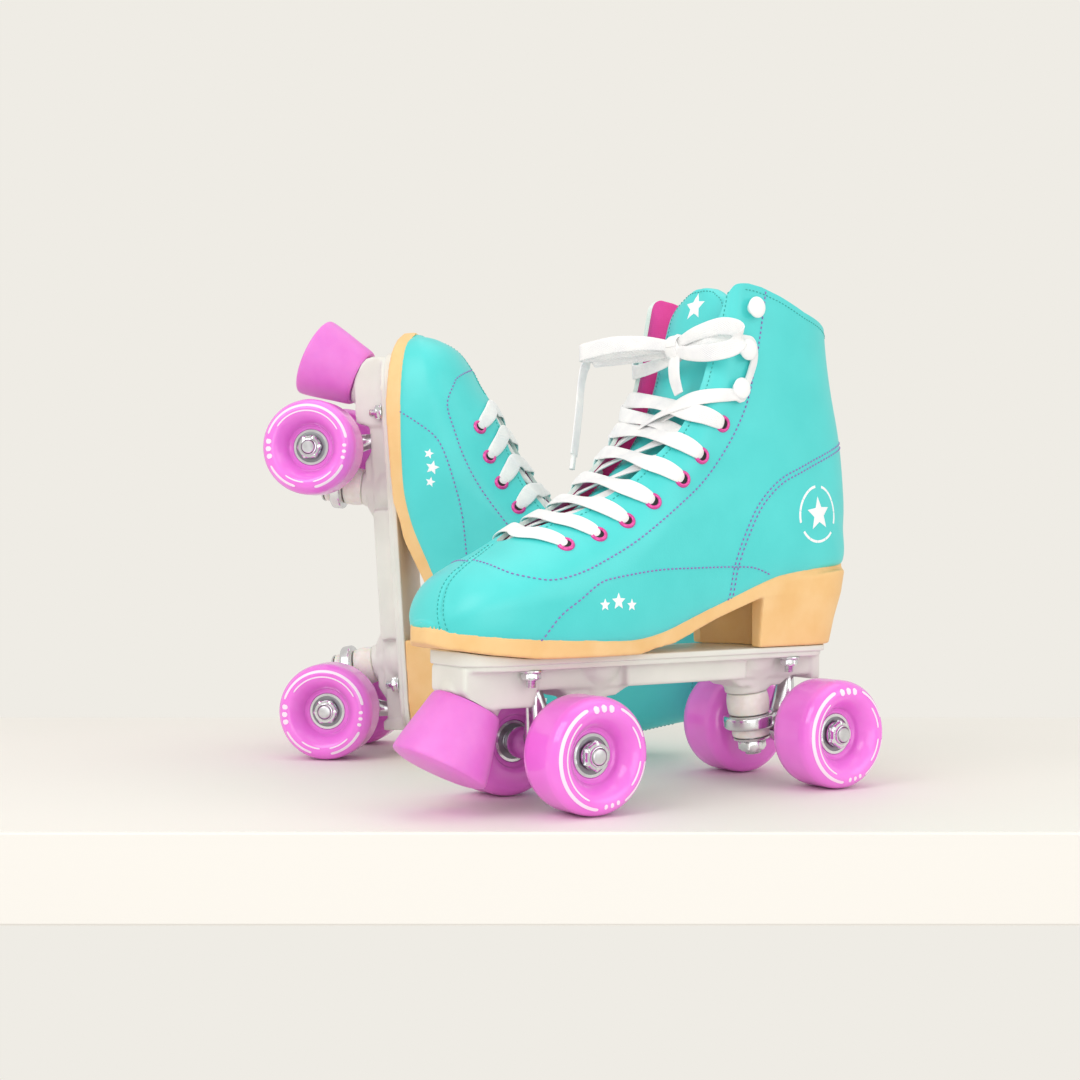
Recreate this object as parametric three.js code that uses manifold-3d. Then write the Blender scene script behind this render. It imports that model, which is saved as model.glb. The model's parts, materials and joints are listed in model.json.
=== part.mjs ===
// A pair of quad roller skates: two lace-up boots, each on a plate with two steering trucks,
// four wheels and a toe stop. The left skate stands, and the right one, its mirror image,
// lies on its heel with the toe up. Millimetres, +Z up.
// A skate is drawn with its front axle over x = 0, its heel towards +X and the floor at z = 0.
import * as THREE from 'three';
import { mergeVertices } from 'three/addons/utils/BufferGeometryUtils.js';
import Module from 'manifold-3d';

const wasm = await Module();
wasm.setup();

// Driving dimensions
const GAP = 0.3;
const WHEEL_BASE = 160.35;
const WHEEL_RADIUS = 29;
const WHEEL_WIDTH = 32;
const HALF_TRACK = 38.5;
const WHEEL_SIDES = 20;
const HUB_BORE = 11.5;
const BEARING_RADIUS = 11;
const BEARING_OUTER_FACE = 5.5;
const BEARING_INNER_FACE = -12.5;
const AXLE_RADIUS = 4;
const AXLE_HALF_LENGTH = 51;
const AXLE_NUT_LENGTH = 6;

const KINGPIN_OFFSET = 21.5;
const KINGPIN_TILT = THREE.MathUtils.degToRad(7.7);
const KINGPIN_RADIUS = 4.8;
const KINGPIN_TIP = -13.5;
const KINGPIN_TOP = 31;
const RING_BOTTOM = 1.2;
const RING_TOP = 8.6;
const BOSS_BOTTOM = 21.2;
const BOSS_RADIUS = 12;
const PIVOT = [-5, 0, 31];
const PIVOT_BALL_RADIUS = 4.8;

const PLATE_TOP = 75.5;
const PLATE_FLANGE_BOTTOM = 69.5;
const PLATE_BODY_BOTTOM = 58.5;
const MOUNT_BOLT_X = [-20, 148];
const MOUNT_BOLT_Y = 21;

const TOE_STOP_TOP = [-44, 0, 52];
const TOE_STOP_TILT = THREE.MathUtils.degToRad(28.7);
const TOE_STOP_LENGTH = 35;
const TOE_STOP_STEM_RADIUS = 7.9;

const BOOT_WALL = 3;
const TONGUE_THICKNESS = 5;
const TONGUE_CROWN = 3;
const SOLE_BOTTOM = PLATE_TOP + GAP;
const LACE_WIDTH = 9;
const LACE_THICKNESS = 1.6;
const LACE_LIFT = 3.7;

const LYING_AT = [15.78, 244.55];
const LYING_YAW = THREE.MathUtils.degToRad(-42.46);

const COLOURS = {
  vinyl: '#3fcfc8', tongue: '#45d2cb', lining: '#e0408f', lace: '#f4f4f2', sole: '#e2ad63',
  metal: '#cfcac3', urethane: '#e35fd6', stop: '#d957cd', chrome: '#d4d6d8', cushion: '#efeadf',
};

function material(colour, roughness, metalness) {
  return new THREE.MeshStandardMaterial({ color: colour, roughness, metalness });
}

function mesh(name, geometry, colour, roughness = 0.5, metalness = 0) {
  const piece = new THREE.Mesh(geometry, material(colour, roughness, metalness));
  piece.name = name;
  return piece;
}

// ---- closed solids ----

function bare(geometry) {
  const copy = geometry.clone();
  copy.deleteAttribute('uv');
  copy.deleteAttribute('normal');
  return mergeVertices(copy);
}

function signedVolume(geometry) {
  const points = geometry.attributes.position;
  const corner = [new THREE.Vector3(), new THREE.Vector3(), new THREE.Vector3()];
  let sum = 0;
  for (let i = 0; i < geometry.index.count; i += 3) {
    corner.forEach((vertex, k) => vertex.fromBufferAttribute(points, geometry.index.getX(i + k)));
    sum += corner[0].dot(corner[1].cross(corner[2]));
  }
  return sum;
}

// The same solid with its faces pointing out.
function facingOut(geometry) {
  const closed = bare(geometry);
  if (signedVolume(closed) < 0) {
    closed.index.array.reverse();
  }
  return closed;
}

function manifold(geometry) {
  const closed = facingOut(geometry);
  return new wasm.Manifold(new wasm.Mesh({
    numProp: 3,
    vertProperties: new Float32Array(closed.attributes.position.array),
    triVerts: new Uint32Array(closed.index.array),
  }));
}

function geometryOf(solid) {
  const result = solid.getMesh();
  const geometry = new THREE.BufferGeometry();
  geometry.setAttribute('position', new THREE.BufferAttribute(result.vertProperties, 3));
  geometry.setIndex(new THREE.BufferAttribute(result.triVerts, 1));
  return geometry;
}

function join(geometries) {
  return geometries.map(manifold).reduce((whole, solid) => whole.add(solid));
}

// joined geometries less the cutting ones
function carve(geometries, cutters) {
  const cut = cutters.map(manifold).reduce((whole, solid) => whole.subtract(solid), join(geometries));
  return geometryOf(cut);
}

// A turned solid around Z. The profile is [radius, height] points that close on themselves.
function turned(profile, sides) {
  const points = [...profile, profile[0]].map(([r, h]) => new THREE.Vector2(r, h));
  return new THREE.LatheGeometry(points, sides, Math.PI / sides).rotateX(Math.PI / 2);
}

function rod(radius, from, to, sides = 12) {
  return new THREE.CylinderGeometry(radius, radius, to - from, sides)
    .rotateX(Math.PI / 2).translate(0, 0, (from + to) / 2);
}

// A hexagon nut or head around Z
function hexagon(acrossFlats, from, to) {
  return rod(acrossFlats / Math.sqrt(3), from, to, 6);
}

function box(x0, x1, halfWidth, z0, z1) {
  return new THREE.BoxGeometry(x1 - x0, 2 * halfWidth, z1 - z0)
    .translate((x0 + x1) / 2, 0, (z0 + z1) / 2);
}

// An outline in X and Z, carried across from -halfWidth to +halfWidth
function sideProfile(outline, halfWidth) {
  const shape = new THREE.Shape(outline.map(([x, z]) => new THREE.Vector2(x, z)));
  return new THREE.ExtrudeGeometry(shape, { depth: 2 * halfWidth, bevelEnabled: false })
    .translate(0, 0, -halfWidth).rotateX(Math.PI / 2);
}

// A plan outline symmetric about Y = 0, given by its +Y side, from z0 up to z1
function planProfile(side, z0, z1) {
  const mirrored = side.slice().reverse().filter(([, y]) => y > 0).map(([x, y]) => [x, -y]);
  const shape = new THREE.Shape([...side, ...mirrored].map(([x, y]) => new THREE.Vector2(x, y)));
  return new THREE.ExtrudeGeometry(shape, { depth: z1 - z0, bevelEnabled: false }).translate(0, 0, z0);
}

// A closed solid through rings of points, its two ends fanned shut
function loft(rings) {
  const count = rings[0].length;
  const positions = [];
  const index = [];
  rings.flat().forEach((point) => positions.push(point.x, point.y, point.z));
  for (let r = 0; r + 1 < rings.length; r += 1) {
    for (let k = 0; k < count; k += 1) {
      const next = (k + 1) % count;
      const a = r * count;
      const b = a + count;
      index.push(a + k, b + k, a + next, a + next, b + k, b + next);
    }
  }
  [0, rings.length - 1].forEach((r) => {
    const centre = new THREE.Vector3();
    rings[r].forEach((point) => centre.addScaledVector(point, 1 / count));
    const hub = positions.length / 3;
    positions.push(centre.x, centre.y, centre.z);
    for (let k = 0; k < count; k += 1) {
      const edge = [r * count + k, r * count + (k + 1) % count];
      index.push(hub, ...(r === 0 ? edge : edge.reverse()));
    }
  });
  const geometry = new THREE.BufferGeometry();
  geometry.setAttribute('position', new THREE.Float32BufferAttribute(positions, 3));
  geometry.setIndex(index);
  return geometry;
}

// ---- the boot's shape ----
// The boot is a sock of sections that fan from the toe, over the ankle, up to the collar.
// Each section runs from a point on the front and top line to one on the sole and heel line.

const FRONT_LINE = [
  [-66.3, 95], [-63.5, 104], [-56, 114.5], [-45, 122], [-34, 127.4], [-22, 134], [-7, 142],
  [10, 150.5], [28, 163], [45, 178], [60, 192], [69, 203], [75, 215], [78.5, 226], [81, 236],
  [83, 244], [85, 251], [87, 258], [88.5, 264], [90, 269], [92, 275],
];
const BACK_LINE = [
  [-66.8, 89.5], [-61, 87.3], [-53, 86.3], [-40, 85.3], [-25, 84.3], [-8, 83.4], [12, 82.8],
  [32, 82.8], [52, 86], [76, 94], [104, 103.7], [130, 112.5], [158, 116.5], [180, 118.5],
  [192, 121], [196, 133], [197, 149], [193.2, 178], [187, 207], [182, 234], [178.5, 262],
];
// [half width, half width where the section meets the sole]
const BOOT_WIDTHS = [
  [10, 9], [22, 20], [31, 28], [37.5, 33.5], [41, 36.5], [42.5, 38], [43, 37.5], [42, 35],
  [40, 32.5], [38.5, 30.5], [37.5, 30], [37.5, 30], [38, 28.5], [38.5, 22], [38.5, 11],
  [38.5, 3], [38.5, 2], [38.5, 2], [38.5, 2], [38.5, 2], [38.5, 2],
];
// [share of the section that rounds over to full width, how square that round is]
const BOOT_CRESTS = [
  [0.6, 2], [0.6, 2], [0.6, 2], [0.6, 2], [0.6, 2], [0.6, 2], [0.58, 2], [0.55, 2], [0.48, 2],
  [0.38, 2.1], [0.28, 2.3], [0.2, 2.5], [0.16, 2.5], [0.14, 2.5], [0.13, 2.5], [0.12, 2.5],
  [0.12, 2.5], [0.12, 2.5], [0.12, 2.5], [0.12, 2.5], [0.12, 2.5],
];
const LAST_STATION = FRONT_LINE.length - 1;
const BACK_SQUARENESS = 2.5;
const TOE_SWING = 4;
const TOE_SWING_FROM = 40;

const spline = (points) => new THREE.SplineCurve(points.map(([a, b]) => new THREE.Vector2(a, b)));
const frontCurve = spline(FRONT_LINE);
const backCurve = spline(BACK_LINE);
const widthCurve = spline(BOOT_WIDTHS);
const crestCurve = spline(BOOT_CRESTS);

// The toe turns in a little, towards +Y on a left boot.
function swing(x) {
  const reach = Math.max(0, TOE_SWING_FROM - x) / (TOE_SWING_FROM - FRONT_LINE[0][0]);
  return TOE_SWING * reach * reach;
}

// Everything about the section at a station, moved in from the outer surface by inset
function section(station, inset = 0) {
  const u = station / LAST_STATION;
  const front = frontCurve.getPoint(u);
  const back = backCurve.getPoint(u);
  const along = back.clone().sub(front).normalize();
  const width = widthCurve.getPoint(u);
  const crest = crestCurve.getPoint(u);
  return {
    front: front.addScaledVector(along, inset),
    back: back.addScaledVector(along, -inset),
    half: width.x - inset,
    foot: Math.max(1.5, width.y - inset),
    crest: crest.x,
    square: 2 / crest.y,
  };
}

// A point on the section: angle 0 is the front line, 180 degrees meets the sole.
function sectionPoint(cut, angle, side) {
  const sine = Math.max(0, Math.sin(angle));
  const cosine = Math.cos(angle);
  let share = cut.crest * (1 - Math.max(0, cosine) ** cut.square);
  let y = cut.half * sine ** cut.square;
  if (cosine < 0) {
    const power = 2 / BACK_SQUARENESS;
    share = cut.crest + (1 - cut.crest) * (-cosine) ** power;
    y = cut.foot + (cut.half - cut.foot) * sine ** power;
  }
  const at = cut.front.clone().lerp(cut.back, share);
  return new THREE.Vector3(at.x, side * y + swing(at.x), at.y);
}

// The angle on a section's front round where it is y wide
function crestAngle(cut, y) {
  return Math.asin(Math.min(1, y / cut.half) ** (1 / cut.square));
}

const HALF_RING = 8;

function bootRing(station, inset) {
  const cut = section(station, inset);
  const points = [];
  for (let k = 0; k <= HALF_RING; k += 1) {
    points.push(sectionPoint(cut, Math.PI * k / HALF_RING, 1));
  }
  points.push(new THREE.Vector3(cut.back.x, swing(cut.back.x), cut.back.y));
  for (let k = HALF_RING; k > 0; k -= 1) {
    points.push(sectionPoint(cut, Math.PI * k / HALF_RING, -1));
  }
  return points;
}

function bootSock(inset, stations) {
  return loft(stations.map((station) => bootRing(station, inset)));
}

const OUTER_STATIONS = [
  0, 1, 2, 3, 4, 5, 6, 7, 8, 9, 10, 11, 12, 13, 13.6, 14.3, 15, 16, 17, 18, 19, 20,
];
const INNER_STATIONS = [0.7, 1.5, 2.6, 4, 5.5, 7, 8.5, 10, 11, 12, 13, 14, 15.2, 16.6, 18.5, 20.6];

// The throat between the two facings, from above: [x, half width]
const THROAT = [
  [-25, 0], [-22, 5], [-14, 9.5], [0, 14], [14, 18.5], [28, 22.5], [50, 27.5], [68, 32],
  [80, 34.5], [92, 36.5],
];
const THROAT_REACH = 24;
const COLLAR_LINE = [
  [60, 256], [90.5, 256], [91.5, 262], [96, 266], [104, 266.5], [113, 265.3], [127, 261.5],
  [146, 255], [162, 251.8], [176, 250.5], [215, 250], [215, 300], [60, 300],
];

function throatCutter() {
  const over = FRONT_LINE.slice(4).map(([x, z]) => [x - 30, z + 40]);
  const under = FRONT_LINE.slice(4).map(([x, z], k) => {
    const turn = Math.min(1, k / 8);
    return [x + THROAT_REACH * turn, z - THROAT_REACH * (1 - turn)];
  });
  const band = manifold(sideProfile([...over, ...under.reverse()], 60));
  const plan = manifold(planProfile(THROAT, 60, 330));
  return geometryOf(band.intersect(plan));
}

function upper(name) {
  const shell = carve(
    [bootSock(0, OUTER_STATIONS)],
    [bootSock(BOOT_WALL, INNER_STATIONS), throatCutter(), sideProfile(COLLAR_LINE, 60)],
  );
  return mesh(name, shell, COLOURS.vinyl, 0.35);
}

// ---- tongue, insole, laces ----

// Up the tongue: [station, half width, depth of its middle behind the boot's front line]
const TONGUE_RINGS = [
  [5.2, 13, 4.5], [6, 15, 6.3], [7, 17, 8.6], [8, 19, 11.5], [9, 22, 13.5], [10, 25, 14.5],
  [11, 27, 14], [12.5, 28, 14.3], [14, 28, 15], [16, 28, 14.5], [17.5, 27, 13], [18.5, 23, 12.5],
  [19.1, 16, 12.5], [19.4, 8, 12.5],
];
const TONGUE_STEPS = [-1, -0.6, 0, 0.6, 1];

function tongueRing([station, halfWidth, depth]) {
  const row = (thickness) => TONGUE_STEPS.map((share) => {
    const { front } = section(station, depth + thickness + TONGUE_CROWN * share * share);
    return new THREE.Vector3(front.x, halfWidth * share + swing(front.x), front.y);
  });
  return [...row(0), ...row(TONGUE_THICKNESS).reverse()];
}

function tongue(name) {
  return mesh(name, facingOut(loft(TONGUE_RINGS.map(tongueRing))), COLOURS.tongue, 0.4);
}

const INSOLE_RISE = 4.2;
const INSOLE_THICKNESS = 3;
const INSOLE_MARGIN = 8;

function insole(name) {
  const rings = [1.6, 2.4, 3.4, 5, 7, 9, 10, 11, 12, 12.8, 13.2].map((station) => {
    const cut = section(station);
    const reach = cut.foot - INSOLE_MARGIN;
    const low = cut.back.y + INSOLE_RISE;
    return [[-1, 0], [1, 0], [1, 1], [-1, 1]].map(([side, level]) => new THREE.Vector3(
      cut.back.x, side * reach + swing(cut.back.x), low + level * INSOLE_THICKNESS,
    ));
  });
  return mesh(name, facingOut(loft(rings)), COLOURS.lining, 0.8);
}

// The seven eyelets and the two laced hooks on each side: [station, distance from the boot's middle]
const LACE_HOLES = [
  [5.2, 25], [6.25, 28], [7.25, 30], [8.25, 32.3], [9.3, 34], [10.3, 35.4], [11.7, 37],
  [13.1, 38], [14.8, 38.2],
];
// A lace lies on both facings and runs straight from one to the other.
const LACE_STEPS = [-1, -0.72, 0.72, 1];

// A flat strip along a path; facing holds the outward direction at each point.
function strip(path, facing, width = LACE_WIDTH) {
  const rings = path.map((point, k) => {
    const before = path[Math.max(0, k - 1)];
    const after = path[Math.min(path.length - 1, k + 1)];
    const run = after.clone().sub(before).normalize();
    const across = run.clone().cross(facing[k]).normalize().multiplyScalar(width / 2);
    const out = across.clone().cross(run).normalize().multiplyScalar(LACE_THICKNESS / 2);
    return [[1, 1], [1, -1], [-1, -1], [-1, 1]].map(([a, b]) => point.clone()
      .addScaledVector(across, a).addScaledVector(out, b));
  });
  return loft(rings);
}

// A point of a lace above the boot, at a share of the way from the middle out to an eyelet
function lacePoint([station, reach], share, lift) {
  const cut = section(station, -lift);
  return sectionPoint(cut, crestAngle(cut, reach * Math.abs(share)), Math.sign(share));
}

function laceOut(hole, share) {
  return lacePoint(hole, share, LACE_LIFT).sub(lacePoint(hole, share, -LACE_LIFT)).normalize();
}

// The stretch that lies over both facings, from an eyelet to the one across
function bar(hole) {
  return strip(
    LACE_STEPS.map((share) => lacePoint(hole, share, LACE_LIFT)),
    LACE_STEPS.map((share) => laceOut(hole, share)),
  );
}

// The stretch from an inner eyelet to the next outer one
function diagonal(hole, next) {
  return strip(
    [lacePoint(hole, LACE_STEPS[2], LACE_LIFT), lacePoint(next, LACE_STEPS[1], LACE_LIFT)],
    [laceOut(hole, LACE_STEPS[2]), laceOut(next, LACE_STEPS[1])],
    LACE_WIDTH - 2,
  );
}

// The bow: a knot on the tongue, a loop to each side, and a loose end hanging from the inner loop
const KNOT_AT = [76, 0, 237];
const HANG = 68;

function bow(fall) {
  const knot = new THREE.BoxGeometry(9, 16, 13).translate(...KNOT_AT);
  const forward = new THREE.Vector3(-1, 0, 0.35).normalize();
  const loops = [[1, 50, 26], [-1, 40, 6]].map(([side, reach, ahead]) => {
    const path = [0, 0.35, 0.7, 1].map((share) => new THREE.Vector3(
      KNOT_AT[0] - 2 - ahead * share, side * reach * share, KNOT_AT[2] + 7 * Math.sin(2.6 * share),
    ));
    return strip(path, path.map(() => forward), 12);
  });
  const start = new THREE.Vector3(KNOT_AT[0] - 27, 46, KNOT_AT[2] + 6);
  const path = [0, 0.2, 0.6, 1].map((share) => start.clone().addScaledVector(fall, HANG * share)
    .add(new THREE.Vector3(0, 2 * Math.sin(Math.PI * share), 0)));
  return [knot, ...loops, strip(path, path.map(() => new THREE.Vector3(0, 1, 0)))];
}

function laces(name, fall) {
  const bars = LACE_HOLES.map(bar);
  const diagonals = LACE_HOLES.slice(1).map((next, k) => diagonal(LACE_HOLES[k], next));
  return mesh(name, geometryOf(join([...bars, ...diagonals, ...bow(fall)])), COLOURS.lace, 0.8);
}

// ---- sole ----

const SOLE_WELT = 2.2;
const SEAT_GAP = 0.8;
const SOLE_TOE_UNDER = [[-69, 83.5], [-64, 81], [-48, 78.4], [-28, 76.3], [-20, SOLE_BOTTOM]];
const SOLE_ARCH_UNDER = [
  [36, SOLE_BOTTOM], [47, 78.5], [60, 80.5], [75, 86.5], [89, 92.2], [104, 97.3], [121, 102.8],
];
const HEEL_FRONT = 121;
const HEEL_BACK_TOP = 194.1;
// Up the heel: [height, half width, how far back it reaches]
const HEEL_RINGS = [
  [SOLE_BOTTOM, 28, 185], [90, 29.5, 188], [104, 31.5, 192], [125, 32.3, HEEL_BACK_TOP],
];
const HEEL_HOLLOW_RADIUS = 24;
const HEEL_HOLLOW_TOP = 103;

// The foot's outline from above, let out by the welt: [x, half width]
function footprint(margin) {
  const stations = [0, 0.4, 1, 2, 3, 4, 5, 6, 7, 8, 9, 10, 11, 12, 13, 14];
  return stations.map((station) => {
    const cut = section(station);
    return [cut.back.x, cut.foot + margin];
  });
}

function soleOutline(margin, z0, z1) {
  const side = footprint(margin);
  const points = [
    ...side.map(([x, y]) => [x, y + swing(x)]),
    [HEEL_BACK_TOP, 3],
    [HEEL_BACK_TOP, -3],
    ...side.reverse().map(([x, y]) => [x, swing(x) - y]),
  ];
  const shape = new THREE.Shape([
    new THREE.Vector2(-66.8 - margin, swing(-66) + 5),
    ...points.map(([x, y]) => new THREE.Vector2(x, y)),
    new THREE.Vector2(-66.8 - margin, swing(-66) - 5),
  ]);
  return new THREE.ExtrudeGeometry(shape, { depth: z1 - z0, bevelEnabled: false }).translate(0, 0, z0);
}

function heelBlock() {
  return loft(HEEL_RINGS.map(([z, radius, back]) => {
    const points = [new THREE.Vector3(HEEL_FRONT, -radius, z)];
    for (let k = 0; k <= 8; k += 1) {
      const angle = Math.PI * (k / 8 - 0.5);
      const x = back - radius + radius * Math.cos(angle);
      points.push(new THREE.Vector3(x, radius * Math.sin(angle), z));
    }
    points.push(new THREE.Vector3(HEEL_FRONT, radius, z));
    return points;
  }));
}

function sole(name) {
  const top = BACK_LINE.slice(0, 14).map(([x, z]) => [x, z - SEAT_GAP]);
  const side = [
    [-72, 89.6], [-67, 88.2], ...top.slice(1), [200, 120.3], [200, 108],
    ...[...SOLE_TOE_UNDER, ...SOLE_ARCH_UNDER].reverse(), [-72, 84.5],
  ];
  const slab = manifold(sideProfile(side, 60)).intersect(manifold(soleOutline(SOLE_WELT, 60, 130)));
  const under = [[100, 60], [210, 60], [210, 120.3], ...top.slice(9).reverse(), [100, 97]];
  const heel = manifold(heelBlock()).intersect(manifold(sideProfile(under, 60)));
  const hollow = rod(HEEL_HOLLOW_RADIUS, 60, HEEL_HOLLOW_TOP, 20).translate(HEEL_FRONT - 10, 0, 0);
  const whole = slab.add(heel).subtract(manifold(hollow));
  return mesh(name, geometryOf(whole), COLOURS.sole, 0.55);
}

// ---- plate ----

function alongToeStop(geometry) {
  return geometry.rotateY(TOE_STOP_TILT).translate(...TOE_STOP_TOP);
}

// Puts a piece drawn around the kingpin into its truck's frame.
function onKingpin(geometry) {
  return geometry.rotateY(KINGPIN_TILT).translate(KINGPIN_OFFSET, 0, 0);
}

// Puts a piece drawn in a truck's frame under the plate, at the front or the rear.
function atTruck(geometry, rear) {
  return rear
    ? geometry.rotateZ(Math.PI).translate(WHEEL_BASE, 0, WHEEL_RADIUS)
    : geometry.translate(0, 0, WHEEL_RADIUS);
}

function mountBolts() {
  const bolts = [];
  MOUNT_BOLT_X.forEach((x) => [-1, 1].forEach((side) => {
    const y = side * MOUNT_BOLT_Y;
    bolts.push(hexagon(10, 65.2, PLATE_FLANGE_BOTTOM + 1).translate(x, y, 0));
    bolts.push(rod(2.5, 61, 66, 6).translate(x, y, 0));
  }));
  return bolts;
}

// The deck's outline in plan, and the side view of the pad under the sole's raised toe
const DECK = [[-57, 0], [-57, 14], [-51, 22], [-38, 27], [168, 27], [178, 17], [178, 0]];
const TOE_PAD = [[-57, 72], [-57, 79.4], [-48, 78], [-28, 75.9], [-22, PLATE_TOP], [-22, 72]];
const TOE_PAD_TOP = 81;

function toePad() {
  const wedge = manifold(sideProfile(TOE_PAD, 30));
  return geometryOf(wedge.intersect(manifold(planProfile(DECK, PLATE_FLANGE_BOTTOM, TOE_PAD_TOP))));
}

function plate(name) {
  const flange = planProfile(DECK, PLATE_FLANGE_BOTTOM, PLATE_TOP);
  const body = [
    toePad(),
    box(-30, WHEEL_BASE + 16, 14, PLATE_BODY_BOTTOM, 71),
    box(40, WHEEL_BASE - 40, 19, PLATE_BODY_BOTTOM, 71),
    box(WHEEL_BASE + 13, WHEEL_BASE + 16.5, 15, 56, 71),
    sideProfile([[-55, 71], [-55, 60], [-47, 51], [-15, 50.5], [-12, 60], [-12, 71]], 16),
    alongToeStop(rod(16, 0.4, 18, 12)),
  ];
  const bosses = [false, true].map((rear) => (
    atTruck(onKingpin(rod(BOSS_RADIUS, BOSS_BOTTOM, 40, 14)), rear)
  ));
  const cutters = [
    alongToeStop(rod(24, -20, 0.4)),
    alongToeStop(rod(TOE_STOP_STEM_RADIUS + 0.5, 0, 14.5)),
  ];
  [false, true].forEach((rear) => {
    const socket = new THREE.SphereGeometry(PIVOT_BALL_RADIUS + 1.2, 10, 6).translate(...PIVOT);
    const mouth = new THREE.CylinderGeometry(5, 9, 9, 10).rotateX(Math.PI / 2)
      .translate(PIVOT[0] + 0.6, 0, PIVOT[2] - 6);
    cutters.push(atTruck(socket, rear));
    cutters.push(atTruck(mouth, rear));
    cutters.push(atTruck(onKingpin(rod(KINGPIN_RADIUS + 0.5, 15, KINGPIN_TOP + 0.5)), rear));
  });
  const casting = carve([flange, ...body, ...bosses, ...mountBolts()], cutters);
  return mesh(name, casting, COLOURS.metal, 0.4, 0.3);
}

// ---- toe stop ----

function toeStop(name) {
  const hole = TOE_STOP_STEM_RADIUS + 0.5;
  const end = -TOE_STOP_LENGTH;
  const profile = [
    [0, end], [21, end], [24.6, end + 2.5], [23.6, end + 9], [20.4, -12], [18.2, -1.5],
    [17, 0], [hole, 0], [hole, -20], [0, -20],
  ];
  return mesh(name, alongToeStop(facingOut(turned(profile, 16))), COLOURS.stop, 0.45);
}

function toeStopBolt(name) {
  return mesh(name, alongToeStop(rod(TOE_STOP_STEM_RADIUS, -19.5, 14)), COLOURS.chrome, 0.2, 1);
}

// ---- truck, drawn around the middle of its axle with the kingpin towards +X ----

function hanger() {
  const web = [[-3, -6], [5, -5.5], [9, 3], [15, 3], [15, RING_TOP - 0.6], [5, 9.5], [-3, 8]];
  const pivot = new THREE.Vector3(...PIVOT);
  const root = new THREE.Vector3(-0.5, 0, 4);
  const length = pivot.distanceTo(root);
  const arm = new THREE.CylinderGeometry(3.6, 7, length, 8).rotateX(Math.PI / 2)
    .rotateY(Math.atan2(pivot.x - root.x, pivot.z - root.z))
    .translate((pivot.x + root.x) / 2, 0, (pivot.z + root.z) / 2);
  const shoulder = HALF_TRACK + BEARING_INNER_FACE - GAP;
  return carve(
    [
      onKingpin(rod(14.5, RING_BOTTOM, RING_TOP, 14)),
      sideProfile(web, 9),
      rod(8, -21.5, 21.5, 10).rotateX(Math.PI / 2),
      rod(6.3, -shoulder, shoulder, 10).rotateX(Math.PI / 2),
      arm,
      new THREE.SphereGeometry(PIVOT_BALL_RADIUS, 8, 6).translate(...PIVOT),
    ],
    [
      onKingpin(rod(6.4, -20, 30, 10)),
      rod(AXLE_RADIUS + 0.5, -60, 60, 10).rotateX(Math.PI / 2),
    ],
  );
}

const WASHER_TOP = -4;
const WASHER_HEIGHT = 1.6;

function kingpin() {
  return onKingpin(geometryOf(join([
    rod(KINGPIN_RADIUS, KINGPIN_TIP, KINGPIN_TOP),
    hexagon(13, -11.5, -5),
    new THREE.CylinderGeometry(10.3, 8.6, WASHER_HEIGHT, 16).rotateX(Math.PI / 2)
      .translate(0, 0, WASHER_TOP - WASHER_HEIGHT / 2),
  ])));
}

function cushion(from, to, endRadius, bulge) {
  const bore = KINGPIN_RADIUS + 0.5;
  const middle = (from + to) / 2;
  return onKingpin(facingOut(turned(
    [[bore, from], [endRadius, from], [endRadius + bulge, middle], [endRadius, to], [bore, to]], 14,
  )));
}

function truck(name, rear) {
  const group = new THREE.Group();
  group.position.set(rear ? WHEEL_BASE : 0, 0, WHEEL_RADIUS);
  group.rotation.z = rear ? Math.PI : 0;
  const axle = rod(AXLE_RADIUS, -AXLE_HALF_LENGTH, AXLE_HALF_LENGTH, 10).rotateX(Math.PI / 2);
  const upperCushion = cushion(RING_TOP + GAP, BOSS_BOTTOM - GAP, 10.8, 0.8);
  const lowerCushion = cushion(WASHER_TOP + GAP, RING_BOTTOM - GAP, 9.9, 0.5);
  group.add(
    mesh(`${name}_hanger`, hanger(), COLOURS.chrome, 0.25, 1),
    mesh(`${name}_axle`, axle, COLOURS.chrome, 0.2, 1),
    mesh(`${name}_kingpin`, kingpin(), COLOURS.chrome, 0.2, 1),
    mesh(`${name}_upper_cushion`, upperCushion, COLOURS.cushion),
    mesh(`${name}_lower_cushion`, lowerCushion, COLOURS.cushion),
  );
  return group;
}

// ---- wheel, drawn around Y with its outer face towards +Y ----

const FLAT_RADIUS = WHEEL_RADIUS / Math.cos(Math.PI / WHEEL_SIDES);
const WHEEL_PROFILE = [
  [HUB_BORE, 5.8], [13.6, 9], [19.5, 15.7], [25, WHEEL_WIDTH / 2], [FLAT_RADIUS, 8.5],
  [FLAT_RADIUS, -8.5], [25, -WHEEL_WIDTH / 2], [17, -WHEEL_WIDTH / 2], [HUB_BORE, -12.8],
];
const SPACER_RADIUS = 6;
const BEARING_BORE = AXLE_RADIUS + 0.5;
const BEARING_PROFILE = [
  [BEARING_BORE, BEARING_OUTER_FACE], [BEARING_RADIUS, BEARING_OUTER_FACE], [BEARING_RADIUS, -1.5],
  [SPACER_RADIUS, -1.5], [SPACER_RADIUS, -5.5], [BEARING_RADIUS, -5.5],
  [BEARING_RADIUS, BEARING_INNER_FACE], [BEARING_BORE, BEARING_INNER_FACE],
];

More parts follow.
